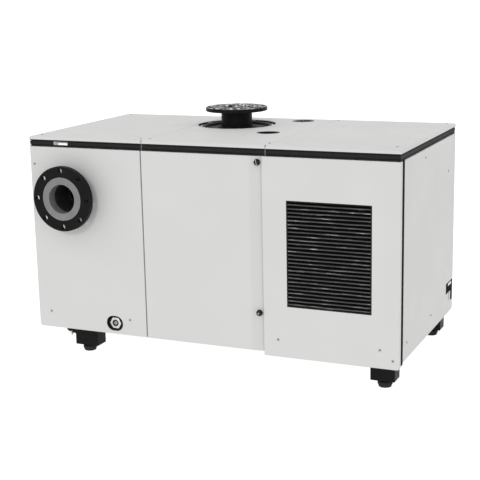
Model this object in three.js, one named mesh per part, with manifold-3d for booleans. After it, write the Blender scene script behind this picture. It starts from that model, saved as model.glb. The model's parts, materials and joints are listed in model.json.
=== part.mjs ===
// Enclosed rotary vane vacuum pump, modelled as an assembly of separate named pieces.
// Millimetres, +Z up, +X to the right of the front, -Y towards the front.
// Origin: on the floor under the middle of the whole pump's box.

import * as THREE from 'three';
import { mergeVertices } from 'three/addons/utils/BufferGeometryUtils.js';
import Module from 'manifold-3d';

const wasm = await Module();
wasm.setup();

// ---------------------------------------------------------------- driving dimensions

const LENGTH = 1660;
const DEPTH = 880;
const FLANGE_REACH = 80; // the exhaust flange stands this far in front of the panels
const LEFT = -LENGTH / 2;
const RIGHT = LENGTH / 2;
const FRONT = (FLANGE_REACH - DEPTH) / 2;
const REAR = FRONT + DEPTH;

const PANEL_BOTTOM = 110;
const RIGHT_PANEL_BOTTOM = 94; // the grille panel hangs a little lower than the others
const PANEL_TOP = 920.5;
const RAIL_BOTTOM = 922.5;
const RAIL_TOP = 950.5;
const LID_BOTTOM = 950.8;
const LID_TOP = 965;
const SHEET = 3;
const RETURN = 20; // depth of the folded edges
const CORNER_ROUND = 12;

const SEAM_DOOR_LEFT = -287;
const SEAM_DOOR_RIGHT = 256.5;
const SEAM_LID_LEFT = -280;
const SEAM_LID_RIGHT = 275;
const SEAM_GAP = 4;
const LATCH_GAP = 2.6; // the seam on the door's latch side is finer
const CORNER_SLOT = 33; // the black post shows in this slot beside each front corner

const BASE_BOTTOM = 114;
const BASE_TOP = 184;
const BASE_TUBE = 50;
const TRAY_TOP = 118;
const BASE_FRONT = FRONT + 28;
const BASE_REAR = REAR - 28;
const BASE_HALF = RIGHT - 27;
const CROSS_MEMBERS = [-265, 155, 430, 612]; // left edges of the bars under pump and motor

const EXHAUST = { x: -631, z: 711 };
const DRAIN = { x: -448, z: 156 };
const DRAIN_HOLE = { x: [-485, -404], z: [124.5, 191.5] };
const INLET = { x: -115, y: 212 };
const FLANGE_RADIUS = 139.7;
const BOLT_CIRCLE = 120.6;
const BOLT_HOLE = 11;
const BOLT_COUNT = 8;
const INLET_TOP = 1046;
const LID_HOLE = 177;
const LIFT_HOLE = 51;
const LIFT_X = 138;
const LIFT_YS = [-29, 398];

const BORE = 165; // pump cylinder
const ROTOR = 137;
const OFFSET = 27.2; // distance of the rotor's axis from the cylinder's axis
const CYLINDER = { y: 212, z: 430 };
const ROTOR_AXIS = { y: CYLINDER.y - OFFSET * Math.SQRT1_2, z: CYLINDER.z + OFFSET * Math.SQRT1_2 };
const CYLINDER_X = [-279.7, 209.7];
const SHAFT = 30;
const VANE_ANGLES = [-15, -135, 105]; // degrees from +Y towards +Z
const VANE_THICK = 12;
const VANE_HEIGHT = 80;

const MOTOR = { y: -190, z: 380 };
const MOTOR_X = [400, 690];
const MOTOR_SHAFT = 24;
const PULLEY_X = [290, 370];
const PUMP_PITCH = 140;
const MOTOR_PITCH = 80;
const BELT_THICK = 8;

const HINGE = { x: SEAM_DOOR_LEFT + 14, y: FRONT + 10 };
const HINGE_ZS = { upper: 800, lower: 220 };
const LATCH_X = 241;
const LATCH_ZS = { upper: 896, lower: 274 };
const JAMB = [FRONT + 38, FRONT + 70];

const FEET = {
  front_left: { x: -618, y: -330 },
  front_right: { x: 753, y: -330 },
  rear_left: { x: -578, y: 405 },
  rear_right: { x: 753, y: 405 },
};
const PAD_HEIGHT = 29.7;

const PAINT = { color: 0xd8d9d6, roughness: 0.55, metalness: 0.0 };
const BLACK = { color: 0x1b1c1d, roughness: 0.5, metalness: 0.1 };
const CAST = { color: 0x4a4d4f, roughness: 0.65, metalness: 0.3 };
const GREY = { color: 0x8d8e8c, roughness: 0.6, metalness: 0.2 };
const STEEL = { color: 0xa9abab, roughness: 0.35, metalness: 0.9 };
const ALUMINIUM = { color: 0xb9bbbb, roughness: 0.45, metalness: 0.8 };
const RUBBER = { color: 0x161616, roughness: 0.8, metalness: 0.0 };
const FILTER = { color: 0xc9c2ae, roughness: 0.9, metalness: 0.0 };
const VANE = { color: 0x3c3630, roughness: 0.6, metalness: 0.1 };

// ---------------------------------------------------------------- shape helpers

function signedVolume(position, index) {
  const a = new THREE.Vector3();
  const b = new THREE.Vector3();
  const c = new THREE.Vector3();
  let sum = 0;
  for (let i = 0; i < index.count; i += 3) {
    a.fromBufferAttribute(position, index.getX(i));
    b.fromBufferAttribute(position, index.getX(i + 1));
    c.fromBufferAttribute(position, index.getX(i + 2));
    sum += a.dot(b.cross(c));
  }
  return sum / 6;
}

// A closed three.js geometry as a manifold-3d solid with its faces pointing out.
function solid(geometry) {
  const bare = geometry.clone();
  bare.deleteAttribute('normal');
  bare.deleteAttribute('uv');
  const merged = mergeVertices(bare, 1e-3);
  const triangles = new Uint32Array(merged.index.array);
  if (signedVolume(merged.attributes.position, merged.index) < 0) {
    triangles.reverse();
  }
  const vertProperties = new Float32Array(merged.attributes.position.array);
  return new wasm.Manifold(new wasm.Mesh({ numProp: 3, vertProperties, triVerts: triangles }));
}

function geometryOf(manifold) {
  const mesh = manifold.getMesh();
  const geometry = new THREE.BufferGeometry();
  geometry.setAttribute('position', new THREE.BufferAttribute(mesh.vertProperties, mesh.numProp));
  geometry.setIndex(new THREE.BufferAttribute(mesh.triVerts, 1));
  geometry.computeVertexNormals();
  return geometry;
}

function box(x, y, z) {
  const geometry = new THREE.BoxGeometry(x[1] - x[0], y[1] - y[0], z[1] - z[0]);
  geometry.translate((x[0] + x[1]) / 2, (y[0] + y[1]) / 2, (z[0] + z[1]) / 2);
  return solid(geometry);
}

// A solid of revolution. Profile points are [radius, place along the axis].
function turned(profile, axis, centre, segments = 28) {
  const points = profile.map(([radius, along]) => new THREE.Vector2(radius, along));
  const geometry = new THREE.LatheGeometry(points, segments);
  if (axis === 'x') geometry.rotateZ(-Math.PI / 2);
  if (axis === 'z') geometry.rotateX(Math.PI / 2);
  geometry.translate(centre.x ?? 0, centre.y ?? 0, centre.z ?? 0);
  return solid(geometry);
}

function rod(axis, centre, radius, from, to, segments = 18) {
  return turned([[0, from], [radius, from], [radius, to], [0, to]], axis, centre, segments);
}

function ring(axis, centre, inner, outer, from, to, segments = 28) {
  const profile = [[inner, from], [outer, from], [outer, to], [inner, to], [inner, from]];
  return turned(profile, axis, centre, segments);
}

// An outline pushed along an axis: (y, z) along x, (x, z) along y, (x, y) along z.
function prism(shape, axis, from, to, curveSegments = 6) {
  const settings = { depth: to - from, bevelEnabled: false, curveSegments };
  const geometry = new THREE.ExtrudeGeometry(shape, settings);
  const basis = new THREE.Matrix4();
  if (axis === 'x') {
    basis.set(0, 0, 1, 0, 1, 0, 0, 0, 0, 1, 0, 0, 0, 0, 0, 1);
    geometry.applyMatrix4(basis);
    geometry.translate(from, 0, 0);
  } else if (axis === 'y') {
    basis.set(1, 0, 0, 0, 0, 0, -1, 0, 0, 1, 0, 0, 0, 0, 0, 1);
    geometry.applyMatrix4(basis);
    geometry.translate(0, to, 0);
  } else {
    geometry.translate(0, 0, from);
  }
  return solid(geometry);
}

function outline(points) {
  return new THREE.Shape(points.map(([a, b]) => new THREE.Vector2(a, b)));
}

// A rectangle whose corners have their own radii: low-left, low-right, high-right, high-left.
function roundedOutline(a, b, [r0, r1, r2, r3]) {
  const shape = new THREE.Shape();
  const arc = (x, y, r, start) => {
    if (r > 0) shape.absarc(x, y, r, start, start + Math.PI / 2, false);
    else shape.lineTo(x, y);
  };
  shape.moveTo(a[0] + r0, b[0]);
  arc(a[1] - r1, b[0] + r1, r1, -Math.PI / 2);
  arc(a[1] - r2, b[1] - r2, r2, 0);
  arc(a[0] + r3, b[1] - r3, r3, Math.PI / 2);
  arc(a[0] + r0, b[0] + r0, r0, Math.PI);
  shape.closePath();
  return shape;
}

function union(...solids) {
  return solids.reduce((sum, next) => sum.add(next));
}

function around(count, radius, centre, make, start = 0) {
  const made = [];
  for (let i = 0; i < count; i += 1) {
    const angle = start + (i * 2 * Math.PI) / count;
    made.push(make(centre[0] + radius * Math.cos(angle), centre[1] + radius * Math.sin(angle), angle));
  }
  return union(...made);
}

const group = new THREE.Group();

function add(name, manifold, finish) {
  const mesh = new THREE.Mesh(geometryOf(manifold), new THREE.MeshStandardMaterial(finish));
  mesh.name = name;
  group.add(mesh);
}

// ---------------------------------------------------------------- frame

// Rectangular tube standing upright, open at both ends.
function uprightTube(x, y, z, wall = 4) {
  const inner = box([x[0] + wall, x[1] - wall], [y[0] + wall, y[1] - wall], [z[0] - 1, z[1] + 1]);
  return box(x, y, z).subtract(inner);
}

function baseFrame() {
  const x = [-BASE_HALF, BASE_HALF];
  const y = [BASE_FRONT, BASE_REAR];
  const inside = box(
    [x[0] + BASE_TUBE, x[1] - BASE_TUBE],
    [y[0] + BASE_TUBE, y[1] - BASE_TUBE],
    [TRAY_TOP, BASE_TOP + 1],
  );
  const drainPassage = rod('y', { x: DRAIN.x, z: DRAIN.z }, 24, y[0] - 1, y[0] + BASE_TUBE + 1);
  const across = CROSS_MEMBERS.map((left) =>
    box([left, left + 40], [y[0] + BASE_TUBE, y[1] - BASE_TUBE], [TRAY_TOP, BASE_TOP]));
  return union(box(x, y, [BASE_BOTTOM, BASE_TOP]).subtract(inside), ...across)
    .subtract(drainPassage);
}

function cornerPosts() {
  const front = [FRONT + RETURN + 1, FRONT + RETURN + CORNER_SLOT - 1];
  const rear = [REAR - RETURN - 35, REAR - RETURN - 2];
  const z = [BASE_TOP + 0.3, RAIL_BOTTOM - 0.3];
  const outer = RIGHT - 0.5;
  add('corner_post_front_left', uprightTube([-outer, -outer + 58], front, z), BLACK);
  add('corner_post_front_right', uprightTube([outer - 58, outer], front, z), BLACK);
  add('corner_post_rear_left', uprightTube([-BASE_HALF, -BASE_HALF + 40], rear, z), BLACK);
  add('corner_post_rear_right', uprightTube([BASE_HALF - 40, BASE_HALF], rear, z), BLACK);
}

function doorJambs() {
  const z = [BASE_TOP + 0.3, RAIL_BOTTOM - 0.3];
  add('door_jamb_left', uprightTube([HINGE.x - 34, HINGE.x + 16], JAMB, z), BLACK);
  let right = uprightTube([LATCH_X - 17, LATCH_X + 43], JAMB, z);
  for (const latchZ of Object.values(LATCH_ZS)) {
    right = right.subtract(rod('y', { x: LATCH_X, z: latchZ }, 12, JAMB[0] - 1, JAMB[0] + 5, 20));
  }
  add('door_jamb_right', right, BLACK);
}

// Cross-section of the ribbed black top rail: distance in from the outer face, height.
function railOutline() {
  const bottom = RAIL_BOTTOM;
  const top = RAIL_TOP;
  return [
    [0, bottom], [28, bottom], [28, bottom + 8], [9, bottom + 8], [9, top - 8], [28, top - 8], [28, top],
    [0, top], [0, top - 5], [3, top - 6], [3, top - 8], [0, top - 9],
    [0, bottom + 9], [3, bottom + 8], [3, bottom + 6], [0, bottom + 5],
  ];
}

// Four rails with mitred corners, 2 mm behind the panel faces.
function topRails() {
  const x = [LEFT + 2, RIGHT - 2];
  const y = [FRONT + 2, REAR - 2];
  const cut = 0.3;
  const reach = 60;
  const mitre = (points) => prism(outline(points), 'z', RAIL_BOTTOM - 1, RAIL_TOP + 1);
  const frontRail = prism(outline(railOutline().map(([d, z]) => [y[0] + d, z])), 'x', x[0], x[1]);
  const rearRail = prism(outline(railOutline().map(([d, z]) => [y[1] - d, z])), 'x', x[0], x[1]);
  const leftRail = prism(outline(railOutline().map(([d, z]) => [x[0] + d, z])), 'y', y[0], y[1]);
  const rightRail = prism(outline(railOutline().map(([d, z]) => [x[1] - d, z])), 'y', y[0], y[1]);
  const endways = (edge, inward) => mitre([
    [x[0] + cut, edge], [x[1] - cut, edge], [x[1] - cut - reach, edge + inward * reach],
    [x[0] + cut + reach, edge + inward * reach],
  ]);
  const sideways = (edge, inward) => mitre([
    [edge, y[0] + cut], [edge + inward * reach, y[0] + cut + reach],
    [edge + inward * reach, y[1] - cut - reach], [edge, y[1] - cut],
  ]);
  add('top_rail_front', frontRail.intersect(endways(y[0], 1)), BLACK);
  add('top_rail_rear', rearRail.intersect(endways(y[1], -1)), BLACK);
  add('top_rail_left', leftRail.intersect(sideways(x[0], 1)), BLACK);
  add('top_rail_right', rightRail.intersect(sideways(x[1], -1)), BLACK);
}

// ---------------------------------------------------------------- feet

// A block under the base frame, on the left with a thin plate reaching outwards.
function footBracket(x, y, reach, plate, top) {
  const [left, right] = reach;
  const shape = outline([
    [x + left - plate, top - 9], [x + left, top - 13], [x + left, PAD_HEIGHT + 0.3],
    [x + right, PAD_HEIGHT + 0.3], [x + right, top], [x + left - plate, top],
  ]);
  const block = prism(shape, 'y', y - 34, y + 34);
  const riserY = [Math.max(y - 20, BASE_FRONT + 2), y + 33];
  const riser = box([x - 45, x + 30], riserY, [top - 20, BASE_BOTTOM - 0.3]);
  return union(block, riser);
}

function feet() {
  const profile = [[0, 0], [34, 0], [39, 8], [39, PAD_HEIGHT], [0, PAD_HEIGHT]];
  for (const [place, { x, y }] of Object.entries(FEET)) {
    const isLeft = place.endsWith('left');
    const reach = isLeft ? [-52, 62] : [-52, 50];
    const top = (place === 'front_right' ? RIGHT_PANEL_BOTTOM : PANEL_BOTTOM) - 0.5;
    add(`foot_bracket_${place}`, footBracket(x, y, reach, isLeft ? 44 : 0, top), BLACK);
    add(`foot_pad_${place}`, turned(profile, 'z', { x, y }, 18), RUBBER);
  }
}

// ---------------------------------------------------------------- outer panels

// A sheet with all four edges folded back, seen from outside as a rounded rectangle.
function foldedPanel(axis, along, z, face, inward, rounds) {
  const inset = [along[0] + SHEET, along[1] - SHEET];
  const insetZ = [z[0] + SHEET, z[1] - SHEET];
  const innerRounds = rounds.map((r) => Math.max(0, r - SHEET));
  const back = face + inward * RETURN;
  const start = face + inward * SHEET;
  const low = (a, b) => Math.min(a, b);
  const high = (a, b) => Math.max(a, b);
  const end = back + inward;
  const outer = prism(roundedOutline(along, z, rounds), axis, low(face, back), high(face, back), 4);
  const innerEdge = roundedOutline(inset, insetZ, innerRounds);
  const inner = prism(innerEdge, axis, low(start, end), high(start, end), 4);
  return outer.subtract(inner);
}

function frontLeftPanel() {
  const x = [LEFT, SEAM_DOOR_LEFT - SEAM_GAP / 2];
  const exhaustHole = rod('y', EXHAUST, 97, FRONT - 1, FRONT + SHEET + 1, 28);
  const drainEdge = roundedOutline(DRAIN_HOLE.x, DRAIN_HOLE.z, [33, 33, 33, 33]);
  const drainHole = prism(drainEdge, 'y', FRONT - 1, FRONT + SHEET + 1, 7);
  return foldedPanel('y', x, [PANEL_BOTTOM, PANEL_TOP], FRONT, 1, [CORNER_ROUND, 0, 0, 0])
    .subtract(exhaustHole)
    .subtract(drainHole);
}

const GRILLE_FRONT = { x: [361.5, 716.5], z: [310, 747.5], face: FRONT, inward: 1, slats: 27 };
const GRILLE_REAR = { x: [390, 740], z: [256, 676], face: REAR, inward: -1, slats: 16 };

function grilleHole(grille) {
  const y = [grille.face - 5, grille.face + 5];
  return box(grille.x, y, grille.z);
}

function frontRightPanel() {
  const x = [SEAM_DOOR_RIGHT + LATCH_GAP / 2, RIGHT];
  return foldedPanel('y', x, [RIGHT_PANEL_BOTTOM, PANEL_TOP], FRONT, 1, [0, CORNER_ROUND, 0, 0])
    .subtract(grilleHole(GRILLE_FRONT));
}

function leftSidePanel() {
  const y = [FRONT + RETURN + CORNER_SLOT, REAR];
  return foldedPanel('x', y, [PANEL_BOTTOM, PANEL_TOP], LEFT, 1, [0, CORNER_ROUND, 0, 0]);
}

// The notch for the cables at the foot of the machine-side panel: a wide part, a lower
// part at the back edge and a narrow slot under the wide part.
const CABLE_NOTCH = [
  { y: [352, REAR + 1], z: [206, 256] },
  { y: [435, REAR + 1], z: [160, 207] },
  { y: [400, 414], z: [170, 207] },
];

function rightSidePanel() {
  const y = [FRONT + RETURN + CORNER_SLOT, REAR];
  const cutOut = union(...CABLE_NOTCH.map(({ y: across, z }) =>
    box([RIGHT - RETURN - 2, RIGHT + 1], across, z)));
  return foldedPanel('x', y, [PANEL_BOTTOM, PANEL_TOP], RIGHT, -1, [0, CORNER_ROUND, 0, 0])
    .subtract(cutOut);
}

function rearPanel() {
  const x = [LEFT + RETURN + 2, RIGHT - RETURN - 2];
  return foldedPanel('y', x, [PANEL_BOTTOM, PANEL_TOP], REAR, -1, [0, 0, 0, 0])
    .subtract(grilleHole(GRILLE_REAR));
}

// A louvred insert: a frame behind the sheet, a lip through its cut-out and sloping slats.
function grille({ x, z, face, inward, slats }) {
  const at = (depth) => face + inward * depth;
  const span = (a, b) => [Math.min(at(a), at(b)), Math.max(at(a), at(b))];
  const grow = (range, by) => [range[0] - by, range[1] + by];
  const gap = 0.4;
  const window = box(grow(x, -6), span(-1, 30), grow(z, -6));
  const lip = box(grow(x, -gap), span(1, 12), grow(z, -gap));
  const flange = box(grow(x, 18), span(SHEET + 0.3, 12), grow(z, 18));
  const pitch = (z[1] - z[0] - 12) / slats;
  const blades = [];
  for (let i = 0; i < slats; i += 1) {
    const low = z[0] + 6 + (i + 0.18) * pitch;
    const blade = outline([
      [at(1.5), low], [at(1.5), low + 2.4],
      [at(11.5), low + 0.62 * pitch + 2.4], [at(11.5), low + 0.62 * pitch],
    ]);
    blades.push(prism(blade, 'x', x[0] + 4, x[1] - 4));
  }
  return union(lip, flange).subtract(window).add(union(...blades));
}

function panels() {
  add('front_left_panel', frontLeftPanel(), PAINT);
  add('front_right_panel', frontRightPanel(), PAINT);
  add('left_side_panel', leftSidePanel(), PAINT);
  add('right_side_panel', rightSidePanel(), PAINT);
  add('rear_panel', rearPanel(), PAINT);
  add('front_grille', grille(GRILLE_FRONT), BLACK);
  add('rear_grille', grille(GRILLE_REAR), BLACK);
}

// ---------------------------------------------------------------- top covers

const LID_ROUND = 9;

// One section of the lid: a shallow tray, rounded along its outer edges.
function topCover(x, [leftRound, rightRound]) {
  const y = [FRONT, REAR];
  const z = [LID_BOTTOM, LID_TOP];
  const acrossShape = roundedOutline(y, z, [0, 0, LID_ROUND, LID_ROUND]);
  const alongShape = roundedOutline(x, z, [0, 0, rightRound, leftRound]);
  const outer = prism(acrossShape, 'x', x[0], x[1], 4).intersect(prism(alongShape, 'y', y[0], y[1], 4));
  const inner = box([x[0] + SHEET, x[1] - SHEET], [y[0] + SHEET, y[1] - SHEET], [z[0] - 1, z[1] - SHEET]);
  return outer.subtract(inner);
}

function topCovers() {
  const half = SEAM_GAP / 4;
  const hole = rod('z', INLET, LID_HOLE, LID_BOTTOM - 1, LID_TOP + 1, 44);
  const liftHoles = LIFT_YS.map((y) =>
    rod('z', { x: LIFT_X, y }, LIFT_HOLE, LID_BOTTOM - 1, LID_TOP + 1, 20));
  const middle = topCover([SEAM_LID_LEFT + half, SEAM_LID_RIGHT - half], [0, 0]);
  add('top_left_cover', topCover([LEFT, SEAM_LID_LEFT - half], [LID_ROUND, 0]).subtract(hole), PAINT);
  add('top_middle_cover', middle.subtract(hole).subtract(union(...liftHoles)), PAINT);
  add('top_right_cover', topCover([SEAM_LID_RIGHT + half, RIGHT], [0, LID_ROUND]), PAINT);
}

// ---------------------------------------------------------------- service door

const DOOR_X = [SEAM_DOOR_LEFT + SEAM_GAP / 2, SEAM_DOOR_RIGHT - LATCH_GAP / 2];
const DOOR_BACK = FRONT + 20;
const DOOR_CURVE = { from: 203, recess: 8, steps: 6 };

// How far the door's face lies behind the front plane: its latch edge curves back.
function doorRecess(x) {
  const s = Math.max(0, (x - DOOR_CURVE.from) / (DOOR_X[1] - DOOR_CURVE.from));
  return DOOR_CURVE.recess * s * s;
}

function doorOutline(inset, back) {
  const points = [[DOOR_X[0] + inset, back], [DOOR_X[0] + inset, FRONT + inset]];
  for (let i = 0; i <= DOOR_CURVE.steps; i += 1) {
    const x = DOOR_CURVE.from + ((DOOR_X[1] - inset - DOOR_CURVE.from) * i) / DOOR_CURVE.steps;
    points.push([x, FRONT + doorRecess(x) + inset]);
  }
  points.push([DOOR_X[1] - inset, back]);
  return points;
}

const KNUCKLE = { radius: 5.5, pin: 3, half: 28, leaf: 3 };

// The half of a lift-off hinge that is welded inside the door.
function doorKnuckle(z) {
  const tube = ring('z', HINGE, KNUCKLE.pin + 0.4, KNUCKLE.radius, z + 0.6, z + KNUCKLE.half, 12);
  const top = z + KNUCKLE.half;
  const strap = box([HINGE.x + 3, HINGE.x + 34], [FRONT + SHEET - 0.5, HINGE.y - 1.5], [z + 0.6, top]);
  return union(strap.subtract(rod('z', HINGE, KNUCKLE.pin + 0.4, z, top + 1, 12)), tube);
}

function frontDoor() {
  const skin = prism(outline(doorOutline(0, DOOR_BACK)), 'z', PANEL_BOTTOM, PANEL_TOP);
  const hollow = outline(doorOutline(SHEET, DOOR_BACK + 1));
  let door = skin.subtract(prism(hollow, 'z', PANEL_BOTTOM + SHEET, PANEL_TOP - SHEET));
  for (const z of Object.values(HINGE_ZS)) {
    const notch = box(
      [DOOR_X[0] - 1, DOOR_X[0] + SHEET + 0.5], [FRONT + SHEET + 0.2, DOOR_BACK + 1],
      [z - KNUCKLE.half - 4, z + 4],
    );
    door = door.subtract(notch).add(doorKnuckle(z));
  }
  for (const z of Object.values(LATCH_ZS)) {
    const seat = rod('y', { x: LATCH_X, z }, 15, FRONT + 1.5, FRONT + 9, 16);
    const hole = rod('y', { x: LATCH_X, z }, 6.3, FRONT - 1, FRONT + 12, 12);
    door = door.add(seat).subtract(hole);
  }
  return door;
}

// The half of the hinge that is screwed to the jamb, with its pin.
function jambHinge(z) {
  const low = z - KNUCKLE.half;
  const barrel = rod('z', HINGE, KNUCKLE.radius, low, z, 12);
  const pin = rod('z', HINGE, KNUCKLE.pin, z - 1, z + KNUCKLE.half - 3, 10);
  const x = [HINGE.x - KNUCKLE.leaf / 2, HINGE.x + KNUCKLE.leaf / 2];
  const leaf = box(x, [HINGE.y + 2, JAMB[0] - 0.3], [low, z]);
  const foot = box([x[0] - 26, x[1]], [JAMB[0] - 3.3, JAMB[0] - 0.3], [low, z]);
  return union(barrel, pin, leaf, foot);
}

// Quarter-turn latch: slotted head, stud and cross bar.
function doorLatch(z) {
  const centre = { x: LATCH_X, z };
  const face = FRONT + 1.2;
  const profile = [
    [0, face - 16], [9, face - 16], [13, face - 11], [13, face], [5.6, face],
    [5.6, JAMB[0] - 4], [0, JAMB[0] - 4],
  ];
  const head = turned(profile, 'y', centre, 18);
  const slot = box([LATCH_X - 1.5, LATCH_X + 1.5], [face - 17, face - 12], [z - 16, z + 16]);
  const bar = box([LATCH_X - 9, LATCH_X + 9], [JAMB[0] - 6, JAMB[0] - 1], [z - 2.5, z + 2.5]);
  return head.subtract(slot).add(bar);
}

function service() {
  add('front_door', frontDoor(), PAINT);
  for (const [place, z] of Object.entries(HINGE_ZS)) {
    add(`door_hinge_${place}`, jambHinge(z), STEEL);
  }
  for (const [place, z] of Object.entries(LATCH_ZS)) {
    add(`door_latch_${place}`, doorLatch(z), BLACK);
  }
}

// ---------------------------------------------------------------- inlet

function inletPort() {
  const profile = [
    [62.5, 780], [112, 780], [112, 796], [70, 798], [70, INLET_TOP - 18],
    [FLANGE_RADIUS, INLET_TOP - 18], [FLANGE_RADIUS, INLET_TOP], [62.5, INLET_TOP], [62.5, 780],
  ];
  const holes = around(BOLT_COUNT, BOLT_CIRCLE, [INLET.x, INLET.y], (x, y) =>
    rod('z', { x, y }, BOLT_HOLE, INLET_TOP - 30, INLET_TOP + 1, 8), Math.PI / BOLT_COUNT);
  return turned(profile, 'z', INLET, 32).subtract(holes);
}

function inletCollar() {
  const profile = [
    [74, 942], [192, 942], [192, 950.3], [92, 950.3], [82, 960], [74, 960], [74, 942],
  ];
  return turned(profile, 'z', INLET, 36);
}

// The plate that closes the inlet when the pump stops, on its guide stem.
function inletValve() {
  const profile = [[0, 632], [6, 632], [6, 735], [68, 735], [70, 743], [0, 747]];
  return turned(profile, 'z', INLET, 24);
}

// ---------------------------------------------------------------- exhaust

function exhaustFlange() {
  const face = FRONT - FLANGE_REACH;
  const profile = [
    [94.5, face], [FLANGE_RADIUS, face], [FLANGE_RADIUS, face + 27],
    [77.5, face + 27], [77.5, face + 13.5], [94.5, face + 13.5], [94.5, face],
  ];
  const holes = around(BOLT_COUNT, BOLT_CIRCLE, [EXHAUST.x, EXHAUST.z], (x, z) =>
    rod('y', { x, z }, BOLT_HOLE, face - 1, face + 30, 8));
  return turned(profile, 'y', EXHAUST, 32).subtract(holes);
}

const CASING = { x: [-745, -325], y: [-312, 398], z: [122, 820], wall: 10 };

function exhaustPipe() {
  const face = FRONT - FLANGE_REACH + 1;
  const base = CASING.y[0] - 12.3;
  const profile = [
    [63, face], [93, face], [93, face + 12], [76.5, face + 12],
    [76.5, base - 16], [82, base - 16], [82, base], [63, base], [63, face],
  ];
  return turned(profile, 'y', EXHAUST, 28);
}

// ---------------------------------------------------------------- oil casing

const COVER_WINDOW = { x: [-705, -365], z: [270, 780] };

function oilCasing() {
  const { x, y, z, wall } = CASING;
  const shell = box(x, y, z).subtract(
    box([x[0] + wall, x[1] - wall], [y[0] + wall, y[1] - wall], [z[0] + wall, z[1] - wall]));
  const window = box(COVER_WINDOW.x, [y[0] - 1, y[0] + wall + 1], COVER_WINDOW.z);
  const boss = ring('y', DRAIN, 12, 21, FRONT + 27, y[0] + wall + 2, 18);
  const passage = rod('y', DRAIN, 12, FRONT + 26, y[0] + wall + 3, 18);
  const ribs = [300, 430, 560, 690].map((low) => box([x[0] - 8, x[0] + 1], y, [low, low + 8]));
  return union(shell, boss, ...ribs).subtract(window).subtract(passage);
}

function oilCasingCover() {
  const { x, z } = COVER_WINDOW;
  const y = [CASING.y[0] - 12, CASING.y[0] - 0.3];
  const edge = roundedOutline([x[0] - 20, x[1] + 20], [z[0] - 20, z[1] + 20], [20, 20, 20, 20]);
  const plate = prism(edge, 'y', y[0], y[1], 4);
  const spigot = box([x[0] + 4, x[1] - 4], [y[1] - 1, y[1] + 6], [z[0] + 4, z[1] - 4]);
  const ribs = [340, 430, 520].map((low) => box([x[0], x[1]], [y[0] - 10, y[0] + 1], [low, low + 8]));
  const hole = rod('y', EXHAUST, 63, y[0] - 12, y[1] + 8, 24);
  return union(plate, spigot, ...ribs).subtract(hole);
}

// Three oil-mist filter tubes on their common plate.
function exhaustFilters() {
  const y = -60;
  const x = [-640, -535, -430];
  const z = 520;
  const plate = box([-700, -370], [y, y + 8], [z - 70, z + 70]);
  const tubes = x.map((at) => rod('y', { x: at, z }, 46, y + 7, y + 400, 18));
  const bores = x.map((at) => rod('y', { x: at, z }, 32, y - 1, y + 394, 12));
  return union(plate, ...tubes).subtract(union(...bores));
}

// Hexagonal plug with a collar, screwed into the casing's drain boss.
function drainPlug() {
  const seat = FRONT + 26.7;
  const hexRadius = 28.5;
  const hexProfile = [
    [0, FRONT + 12], [hexRadius - 3, FRONT + 12], [hexRadius, FRONT + 14],
    [hexRadius, seat - 3], [0, seat - 3],
  ];
  const hex = turned(hexProfile, 'y', DRAIN, 6);
  const collar = rod('y', DRAIN, 22, seat - 4, seat);
  const stem = rod('y', DRAIN, 11.2, seat - 1, seat + 22, 12);
  const recess = rod('y', DRAIN, 9, FRONT + 11, FRONT + 18, 6);
  return union(hex, collar, stem).subtract(recess);
}

// ---------------------------------------------------------------- pump module

function pumpCylinder() {
  const [from, to] = CYLINDER_X;
  const barrel = rod('x', CYLINDER, 192, from, to, 28);
  const rims = [[from, from + 22], [to - 22, to]].map(([a, b]) => rod('x', CYLINDER, 204, a, b, 28));
  const feetBlocks = [-262, 158].map((x) =>
    box([x, x + 34], [CYLINDER.y - 150, CYLINDER.y + 150], [BASE_TOP + 0.3, CYLINDER.z - 60]));
  const tower = rod('z', INLET, 100, CYLINDER.z + 100, 768, 24);
  const towerTop = rod('z', INLET, 112, 762, 779.7, 24);
  const body = union(barrel, ...rims, ...feetBlocks, tower, towerTop);
  const throat = rod('z', INLET, 76, CYLINDER.z, 781, 24);
  const guide = union(
    box([INLET.x - 80, INLET.x + 80], [INLET.y - 9, INLET.y + 9], [650, 666]),
    rod('z', INLET, 14, 650, 680, 12),
  ).subtract(rod('z', INLET, 6.6, 600, 700, 12));
  const bore = rod('x', CYLINDER, BORE, from - 1, to + 1, 44);
  return body.subtract(throat).add(guide).subtract(bore);
}

function endCover(from, to, bossFrom, bossTo) {
  const disc = rod('x', CYLINDER, 204, from, to, 28);
  const boss = rod('x', ROTOR_AXIS, 74, bossFrom, bossTo, 20);
  return union(disc, boss);
}

function driveEndCover() {
  const from = CYLINDER_X[1] + 0.3;
  const hole = rod('x', ROTOR_AXIS, SHAFT + 0.8, from - 1, from + 70, 20);
  return endCover(from, from + 40, from + 39, from + 58).subtract(hole);
}

function rearEndCover() {
  const to = CYLINDER_X[0] - 0.3;
  const hole = rod('x', ROTOR_AXIS, SHAFT + 0.8, to - 34, to + 1, 20);
  return endCover(to - 36, to, CASING.x[1] + 0.3, to - 35).subtract(hole);
}

function placeAtAngle(geometry, degrees) {
  geometry.rotateX(THREE.MathUtils.degToRad(degrees));
  geometry.translate(0, ROTOR_AXIS.y, ROTOR_AXIS.z);
  return solid(geometry);
}

// A bar lying along the rotor, from one radius to another, turned to the given angle.
function radialBar(x, radii, thick, degrees) {
  const geometry = new THREE.BoxGeometry(x[1] - x[0], radii[1] - radii[0], thick);
  geometry.translate((x[0] + x[1]) / 2, (radii[0] + radii[1]) / 2, 0);
  return placeAtAngle(geometry, degrees);
}

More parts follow.
